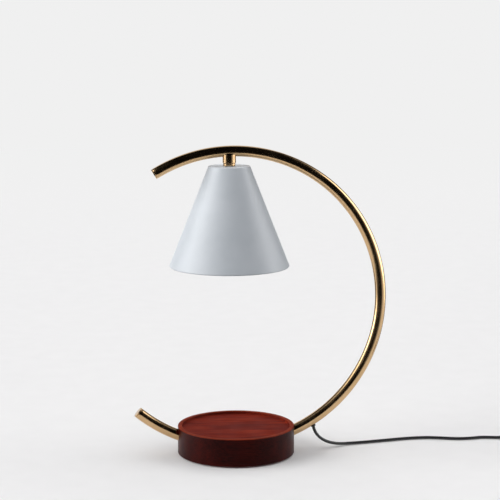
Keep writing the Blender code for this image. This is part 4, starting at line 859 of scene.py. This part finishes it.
# %% Screws
def screw(shank, length, head, high, seat, way, at):
    """Rows from the head's middle out, down its edge and along the shank, with a dip along a cross."""
    out = np.linspace(0, 1, 33)[:-1] * (head - high / 2)
    rest = [
        (head - high / 2, high), (head, high / 2), (head, 0), (shank, 0), (shank, shank / 2 - length),
        (shank / 2, -length), (0, -length),
    ]
    profile = np.vstack([np.stack([out, np.full(32, high)], 1), softened(rest, 0.15, 5)])
    grid = lathe(profile, 96) / mm
    near, far = np.moveaxis(np.sort(abs(grid[..., :2]), -1), -1, 0)
    dip = np.clip(1.5 - near / (0.12 * head), 0, 1) * np.clip(6 - far / (0.1 * head), 0, 1)
    grid[..., 2] -= 0.6 * high * dip * (grid[..., 2] > 0.9 * high)
    return mm * (grid * (1, way, way) + (*at, seat))


screws = {  # the shank's radius and length, the head's radius, height and seat, its way up; then where
    "cover": ((1.3, 10.5, 2.7, 0.8, 1.5, -1), {1: (0.0, 53.0), 2: (-45.9, -26.5), 3: (45.9, -26.5)}),
    "tube": ((2.0, 8.8, 3.6, 0.8, 1.5, -1), {"left": (-29.93, 0.0), "right": (24.93, 0.0)}),
    "holder": ((1.5, 17.6, 2.7, 1.6, 316.94, 1), {side: (x, 0.0) for side, x in holder_xs.items()}),
    "dimmer": ((1.1, 9.5, 1.8, 1.2, 1.6, -1), dimmer_screws),
}
for kind, (sizes, places) in screws.items():
    for which, at in places.items():
        show(f"cross_{kind}_screw_{which}", screw(*sizes, at), zinc, [f"{kind}_screw_{which}"])

# %% [markdown]
# The lamp holder and the bulb's cap are steatite, a pressed and fired ceramic, creamy white with a thin
# glaze: fairly shiny, with a few darker specks. The holder's two keyholes take the bulb's pins, wide
# where they enter and narrow where they lock after a twist of twenty degrees.

# %% Finish: steatite
ceramic = finish(  # creamy and glassy at once, with specks like flour
    "glazed steatite", {"IOR": 1.55, "Coat Weight": 0.4, "Coat Roughness": 0.15},
    {0.27: "#B9B1A2", 0.33: "#DDD8CC", 0.7: "#E6E1D6"}, (0.0007, 2.0), (0.34, 0.5), (0.0007, 2.0),
    0.00002, (0.006,),
)

# %% Lamp holder with its keyholes
pin_circle = 5


def bow(half_width, start, end, low, high):
    """A curved slot along the circle of the pins between two angles, round at both ends."""
    def circle(radius, angles):
        """Points (r*cos(a), r*sin(a))."""
        return radius * np.stack([np.cos(angles), np.sin(angles)], 1)

    sweep, cap = np.linspace(start, end, 12), np.linspace(0, math.pi, 12)
    far = circle(pin_circle, np.full(12, end)) + circle(half_width, end + cap)
    near = circle(pin_circle, np.full(12, start)) + circle(half_width, start + math.pi + cap)
    outer, inner = circle(pin_circle + half_width, sweep), circle(pin_circle - half_width, sweep[::-1])
    return slab(np.vstack([outer, far[1:-1], inner, near[1:-1]]), low, high, 0.01, 0.01, 0.3, rod_at)


holder = slab(rounded_plan(31, 19.5, 5), 289.34, 304.34, 1.0, 1.0, 3, rod_at)
holder = show("ceramic_holder", holder, ceramic, ["holder_body"])
for locked in (math.pi / 2, -math.pi / 2):
    free = locked - math.radians(20)
    enters = (rod_at[0] + pin_circle * math.cos(free), pin_circle * math.sin(free))
    slots = bow(2.7, free, locked, 292.34, 299.84), bow(1.7, free, locked, 287, 292.6)
    cut(holder, *slots, bar(2.7, 287, 292.6, enters))
wire_holes = [bar(1.1, 299.5, 306, (rod_at[0], y)) for y in (-pin_circle, pin_circle)]
cut(holder, *wire_holes, *[bar(1.8, 299.04, 306, (x, 0)) for x in holder_xs.values()])

# %% [markdown]
# The bulb is a 50 mm reflector lamp: a ceramic cap, a pressed glass reflector with a mirror coat, a
# quartz capsule with its coiled filament, and a front glass. The reflector's inside is a parabola,
# pressed into rows of small facets that scatter the beam: a dip in the radius over each cell of a
# staggered grid. Glass is clear and slightly rough; the mirror coat is metal laid on the glass.

# %% Finishes: mirror coat, clear glass, quartz and tungsten
def clear_glass(name, rough):
    """Glass that lets light through, with ripples from pressing and a breath of dust in its roughness."""
    clear, shades = {"IOR": 1.47, "Transmission Weight": 1.0}, {0.3: "#F1F4F3", 0.7: "#FAFBFB"}
    return finish(name, clear, shades, (0.009,), rough, (0.004,), 0.00005)


# a bright silver bowl, a glass that shows only by its glints, and a grey thread of wire
mirror = metal(
    "aluminised glass", {0.3: "#D2D3D2", 0.7: "#DEDEDC"}, (0.1, 0.18), 0.002, 0.000004
)
front_glass = clear_glass("pressed front glass", (0.02, 0.08))
quartz = clear_glass("clear quartz", (0.0, 0.03))
tungsten = metal("tungsten wire", {0.3: "#57534F", 0.7: "#6B665F"}, (0.3, 0.45), 0.0005, 0.000002)

# %% Bulb cap and reflector
hole, bowl_top, cap_low, cap_middle, cap_top = 2.6, 272.24, 272.54, 277.04, 289.04
cap_outline = [
    (0, cap_top), (10.2, cap_top), (10.2, cap_middle), (12.5, cap_low), (hole, cap_low),
    (hole, cap_middle), (0, cap_middle),
]
cap_profile = softened(cap_outline, np.array([0.8, 1.5, 0.3, 0.1, 0.1]))
show("bulb_ceramic", lathe(cap_profile, 128, rod_at), ceramic, ["bulb_cap"], "bulb")


def reflector():
    """Outside and inside follow r^2 = neck^2 + (mouth^2 - neck^2)*s, and each facet inside bulges 0.35 mm."""
    share, angle = np.linspace(0, 1, 81)[:, None], all_round(288)
    neck, mouth, neck_inside, mouth_inside = 12.5, 25, 11.3, 23.8
    outer = np.sqrt(neck**2 + (mouth**2 - neck**2) * share)
    inner = np.sqrt(neck_inside**2 + (mouth_inside**2 - neck_inside**2) * share)
    row = share * 9
    across, up = (angle / math.tau * 24 + np.floor(row) / 2) % 1 - 0.5, row % 1 - 0.5
    facet = np.clip(1 - 4 * up**2, 0, 1) * np.clip(1 - 4 * across**2, 0, 1)
    inner = inner - 0.35 * facet * (share < 0.999)
    height = bowl_top - 26.5 * share
    rows = [(hole, bowl_top), (outer, height), (mouth, 242.9), (24.85, 242.74), (23.95, 242.74)]
    rows += [(mouth_inside, 242.9), (inner[:3:-1], height[:3:-1]), (neck_inside, 271.04), (hole, 271.04)]
    grid = np.concatenate([turned(radius, angle, z) for radius, z in [*rows, rows[0]]])
    return mm * (grid + (*rod_at, 0))


show("bulb_bowl", reflector(), mirror, ["bulb_reflector"], "bulb", 25)

# %% Front glass, capsule and filament
out = np.linspace(0, 1, 24)
bulge = np.stack([23.3 * out, 243.64 - 0.9 * (1 - out**2)], 1)
lens_profile = np.vstack([bulge, [(23.5, 243.8), (23.5, 245.3), (23.3, 245.44), (0, 245.44)]])
show("bulb_front", lathe(lens_profile, 128, rod_at), front_glass, ["bulb_lens"], "bulb")


def capsule(radius, rest):
    """A half ball at the bottom, then the rest of the profile."""
    tip = np.linspace(-math.pi / 2, 0, 16)
    ball = np.stack([radius * np.cos(tip), 259.44 + radius * np.sin(tip)], 1)
    return lathe(np.vstack([ball, rest]), 64, rod_at)


neck = [(4.2, 268.5), (3.6, 270.2), (2.3, 270.74), (2.3, 276.74), (0, 276.74)]
burner = show("bulb_capsule", capsule(4.2, neck), quartz, ["bulb_burner"], "bulb")
cut(burner, capsule(3.5, [(3.5, 268.0), (2.6, 269.2), (0, 269.2)]))

wind = np.linspace(0, 11, 11 * 16 + 1)
coiled = turned(0.8, math.tau * wind, 259.5 + 0.42 * wind) + (*rod_at, 0)
legs = (
    np.array([(-6.2, 0, 269.1), (-6.2, 0, 266.0), (-6.2, 0, 264.6)]),
    np.array([(-8.6, 0, 269.1), (-8.6, 0, 262.0), (-8.4, 0, 259.2), (-7.0, 0.3, 259.0)]),
)
wires = [hose(mm * coiled, 0.00009, (0, 0, 1), 8)]
wires += [hose(smooth(mm * leg, 6), 0.00016, (0, 1, 0), 10) for leg in legs]
show("bulb_filament", wires, tungsten, [], "bulb")

# %% [markdown]
# Inside the tube the cord goes on up to the lamp holder, where its two cores, brown and blue, end in
# brass contacts. Little of it shows, but it is soft, so its plain CAD stand-ins are replaced as well.

# %% Lead and cores inside the lamp
brown, blue = [  # soft matt insulation in the two mains colours
    moulded(f"{name} silicone", {0.3: dark, 0.7: light}, (0.45, 0.6), 0.0006, 0.00002)
    for name, dark, light in (("brown", "#4A2413", "#5C3019"), ("blue", "#1D4C9A", "#265BB0"))
]
rod_x = mm * rod_at[0]
head_angle = math.acos((rod_x - arc_middle[0]) / arc_radius)
slack = tube_bore - cord_radius - cord_room

ways_in = (bush_end, (bush_start + bush_end) / 2, bush_start, bush_start / 3)
lead = [bush_at + bush_ahead * way for way in ways_in]
# near its two bends the lead lies against the bore, by shares of the room it has there
for turn, share in ((4, -0.42), (8, -0.7), (14, -0.6), (20, -0.3)):
    lead.append(on_arc(bush_angle + math.radians(turn), slack * share))
middle_way = np.linspace(bush_angle + math.radians(28), head_angle - math.radians(18), 12)
lead += [on_arc(turn) for turn in middle_way]
for turn, share in ((11, 0.35), (6, 0.7), (3, 0.65)):
    lead.append(on_arc(head_angle - math.radians(turn), slack * share))
lead += [np.array([rod_x, 0, mm * z]) for z in (337.79, rod_high, 323.04, rod_low)]
show("lead_inside", hose(smooth(lead, 4), cord_radius, (0, 1, 0), 16), pvc, ["inner_lead"])
for name, side, stuff in (("live", -1, brown), ("neutral", 1, blue)):
    ways = ((1.1, 311.14), (3.05, 307.74), (5.0, 305.94), (5.0, 297.04))
    core = smooth([(rod_x, mm * side * y, mm * z) for y, z in ways], 8)
    show(f"core_{name}", hose(core, 0.0008, (1, 0, 0), 16), stuff, [f"wire_{name}"])

# %% [markdown]
# The dish stands on a soft foam pad over a steel plate that closes the weights in. The pad is die cut:
# its edge is square, its skin is finely pitted, and holes in it let the screws be reached.

# %% Finish: foam
def cells(tree):
    """Closed cells about 0.8 mm across: the distance to the nearest of points strewn that far apart."""
    where = add(tree, "TexCoord", out="Object")
    return add(tree, "TexVoronoi", {"Vector": where, "Scale": 1250.0})


foam = finish(  # a dead matt, finely pitted black
    "closed-cell foam", {"IOR": 1.4}, {0.1: "#1A1A1B", 0.6: "#2A2A2B"}, cells, (0.85, 0.95),
    cells, 0.00012, (0.01,),
)

# %% Closing plate and pad
below = [(sizes, at) for sizes, places in (screws["cover"], screws["tube"]) for at in places.values()]
plate = lathe(softened([(0, 1.8), (56, 1.8), (56, 2.8), (0, 2.8)], 0.2), 192)
plate = show("closing_plate", plate, zinc, ["cover_plate"])
cut(plate, [bar(shank + 0.3, 0, 5, at) for (shank, *_), at in below])
pad = lathe(softened([(0, 0), (55, 0), (55, 1.5), (0, 1.5)], 0.25), 192)
pad = show("foam_pad", pad, foam, ["foot_pad"])
cut(pad, [bar(head + 0.3, -2, 5, at) for (_, _, head, *_), at in below])

# %% [markdown]
# A few small parts are right as CAD made them: weights, inserts, contacts, pins and what is inside the
# dimmer. They keep their meshes and only get the finish of what they are made of.

# %% Finishes for the kept CAD parts
# glossy green lacquer over glass cloth, and a blue bead as smooth as enamel
board = moulded(
    "green circuit board", {0.3: "#15502B", 0.7: "#1D6437"}, (0.28, 0.4), 0.0008, 0.00003
)
capacitor = moulded(
    "dipped film capacitor", {0.3: "#1B4E93", 0.7: "#2461AE"}, (0.2, 0.32), 0.002, 0.00005
)
kept = {
    iron: ["ballast_front", "ballast_back"],
    zinc: ["tube_insert_left", "tube_insert_right", "dimmer_spindle", "dimmer_pot"],
    nickel: ["bulb_pin_front", "bulb_pin_back"],
    raw_brass: ["contact_live", "contact_neutral"],
    board: ["dimmer_board"],
    capacitor: ["dimmer_capacitor"],
}
for stuff, names in kept.items():
    for name in names:
        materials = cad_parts[name].data.materials
        materials.clear()
        materials.append(stuff)
left = [name for name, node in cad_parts.items() if not node.hide_render]
print("CAD parts that stay:", sorted(left))

# %% [markdown]
# The set is plain: a pale floor that gives way to a pale background, and soft light. Floor and room look
# pale to the eye, in metal and through glass, but send less light onto the lamp than that: in a white
# box the cone would have no shaded middle. A large far lamp on the left is the key, as in the
# photograph, a weaker one on the right fills, and a wide one overhead lays the soft shadow.

# %% Floor and backdrop
pale_room, dim_room, dim_floor = "#F0F0F0", "#85868A", "#979797"
fade_from, fade_to, near_floor = 0.8, 3.7, 0.006


def to_the_eye(tree):
    """1 for rays from the camera, for mirrored ones and for those through glass, and 0 for all others."""
    rays = add(tree, "LightPath").node.outputs
    both = add(tree, "Math", {0: rays["Is Camera Ray"], 1: rays["Is Glossy Ray"]}, operation="ADD")
    return add(tree, "Math", {0: both, 1: rays["Is Transmission Ray"]}, operation="ADD", use_clamp=True)


def pale_floor():
    """A matt sheet that keeps shadows and takes on the room's colour far off. It is clear from below, and to
    rays that start within 6 mm of it, so that the lamp's underside is lit when it is looked at."""
    made = finish(
        "pale matt paper", {"Specular IOR Level": 0.1}, {0.2: "#F1F0EF", 0.8: "#F4F3F2"},
        (0.03,), (0.85, 0.95), (0.03,), 0.0,
    )
    tree, shader, shown = made.node_tree, made.node_tree.nodes["Principled BSDF"], to_the_eye(made.node_tree)
    paper = shader.inputs["Base Color"].links[0].from_socket
    paper = add(tree, "Mix", {0: shown, 6: colour(dim_floor), 7: paper}, 2, data_type="RGBA")
    tree.links.new(paper, shader.inputs["Base Color"])
    away = add(tree, "TexCoord", out="Object")
    away = add(tree, "VectorMath", {0: away}, "Value", operation="LENGTH")
    fade = {"Value": away, "From Min": fade_from, "From Max": fade_to}
    far = add(tree, "MapRange", fade, interpolation_type="SMOOTHSTEP")
    far = add(tree, "Math", {0: far, 1: shown}, operation="MULTIPLY")
    room = add(tree, "Emission", {"Color": colour(pale_room)})
    faded = add(tree, "MixShader", {0: far, 1: shader.outputs[0], 2: room})
    below, start = add(tree, "NewGeometry", out="Backfacing"), add(tree, "LightPath", out="Ray Length")
    below = add(tree, "Math", {0: below, 1: shown}, operation="MULTIPLY")
    close = add(tree, "Math", {0: start, 1: near_floor}, operation="LESS_THAN")
    clear = add(tree, "Math", {0: below, 1: close}, operation="MAXIMUM")
    mix = add(tree, "MixShader", {0: clear, 1: faded, 2: add(tree, "BsdfTransparent")})
    tree.links.new(mix, tree.nodes["Material Output"].inputs["Surface"])
    made.cycles.emission_sampling = "NONE"
    return made


def set_piece(name, mesh, stuff):
    """Put a part of the set in the scene, marked as no part of the lamp."""
    mesh.materials.append(stuff)
    piece = placed(name, mesh)
    piece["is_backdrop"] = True
    return piece


sheet = bpy.data.meshes.new("floor")
corners = [(x, y, -0.0001) for x, y in ((-4, -4), (4, -4), (4, 4), (-4, 4))]
sheet.from_pydata(corners, [], [(0, 1, 2, 3)])
set_piece("floor", sheet, pale_floor())

world = bpy.data.worlds.new("pale room")
bpy.context.scene.world = world
world.use_nodes = True
tree = world.node_tree
shades = {0: to_the_eye(tree), 6: colour(dim_room), 7: colour(pale_room)}
room = add(tree, "Mix", shades, 2, data_type="RGBA")
tree.links.new(room, tree.nodes["Background"].inputs["Color"])
print("the floor gives way to the room from", fade_from, "to", fade_to, "m")

# %% [markdown]
# Polished metal shows whatever stands round it, and in an all pale room it would be pale all over. So,
# as in any product studio, black cloth hangs outside the picture: a wide piece in front and overhead,
# and a narrow one behind on either side. A bright strip stands on the left and on the right. The brass
# then has a dark body between bright lines. Cloth and strips are for the gloss alone, so they throw no
# shadow and no light on anything matt.

# %% Black cloth
def black_cloth():
    """Matt black where the cosine of the angle to a direction is high: one up in front, two bands behind."""
    made = finish(
        "matt black velvet", {"Specular IOR Level": 0.1}, {0.3: "#0C0C0D", 0.7: "#131314"},
        (0.05,), (0.9, 1.0), (0.05,), 0.0,
    )
    tree, where = made.node_tree, add(made.node_tree, "TexCoord", out="Object")
    level = add(tree, "VectorMath", {0: where, 1: (1.0, 1.0, 0.0)}, operation="MULTIPLY")
    ahead, level = [add(tree, "VectorMath", {0: each}, operation="NORMALIZE") for each in (where, level)]
    away = add(tree, "VectorMath", {0: where}, "Value", operation="LENGTH")
    near = {"Value": away, "From Min": 0.3, "From Max": 0.5}
    near = add(tree, "MapRange", near, interpolation_type="SMOOTHSTEP")
    thick = 0.0
    for seen, way, thin, full in (
        (ahead, (-0.2, -0.65, 0.73), 0.1, 0.55), (level, (-0.7, 0.71, 0), 0.92, 0.99),
        (level, (0.7, 0.71, 0), 0.92, 0.99),
    ):
        cosine = add(tree, "VectorMath", {0: seen, 1: way}, "Value", operation="DOT_PRODUCT")
        piece = {"Value": cosine, "From Min": thin, "From Max": full}
        piece = add(tree, "MapRange", piece, interpolation_type="SMOOTHSTEP")
        thick = add(tree, "Math", {0: piece, 1: thick}, operation="MAXIMUM")
    alpha = add(tree, "Math", {0: thick, 1: near}, operation="MULTIPLY")
    tree.links.new(alpha, tree.nodes["Principled BSDF"].inputs["Alpha"])
    return made


rise = np.linspace(0, math.pi / 2, 24)
dome = np.stack([2400 * np.cos(rise), 1 + 2400 * np.sin(rise)], 1)
cloth = set_piece("cloth", solid("cloth", lathe(np.vstack([[(300, 1)], dome]), 64)), black_cloth())
cloth.visible_camera = cloth.visible_diffuse = cloth.visible_transmission = cloth.visible_shadow = False


# %% Strips and lamps
def lamp(name, kind, from_there, at=(0, 0, 0), unseen=(), **settings):
    """A light of a kind with its settings, which shines from a direction; unseen names rays that miss it."""
    light = bpy.data.lights.new(name, kind)
    for setting, value in settings.items():
        setattr(light, setting, value)
    piece = placed(name, light)
    piece.location, piece.rotation_mode = at, "QUATERNION"
    piece.rotation_quaternion = (-Vector(from_there)).to_track_quat("-Z", "Y")
    for ray in unseen:
        setattr(piece, f"visible_{ray}", False)


wide, tall, bright = 0.4, 1.2, 1.6
for name, x in (("strip_left", -0.9), ("strip_right", 1.0)):
    lamp(
        name, "AREA", (x, 0, 0), (x, 0, tall / 2), ("camera", "diffuse", "transmission"),
        shape="RECTANGLE", size=wide, size_y=tall, energy=bright * math.pi * wide * tall,
    )
light_on_floor = []
for name, way, across, power, unseen in (
    ("key", (-1.0, -0.1, 0.3), 60, 3.0, ()), ("fill", (1.0, 0.0, 0.3), 60, 1.2, ()),
    ("top", (0.1, 0.3, 1.0), 80, 1.15, ("glossy",)),
):
    lamp(name, "SUN", way, unseen=unseen, angle=math.radians(across), energy=power)
    light_on_floor.append(power * Vector(way).normalized().z / math.pi)
bpy.context.scene.view_settings.view_transform = "Standard"
print("lamps give the floor, as a share of full white:", np.round(light_on_floor, 2))

seen_box = [list(corner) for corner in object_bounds()]
grown = np.abs(np.array(seen_box) - np.array(cad_box)).max()
print("scene grows past the CAD box by", np.round(grown, 5), "m at most")
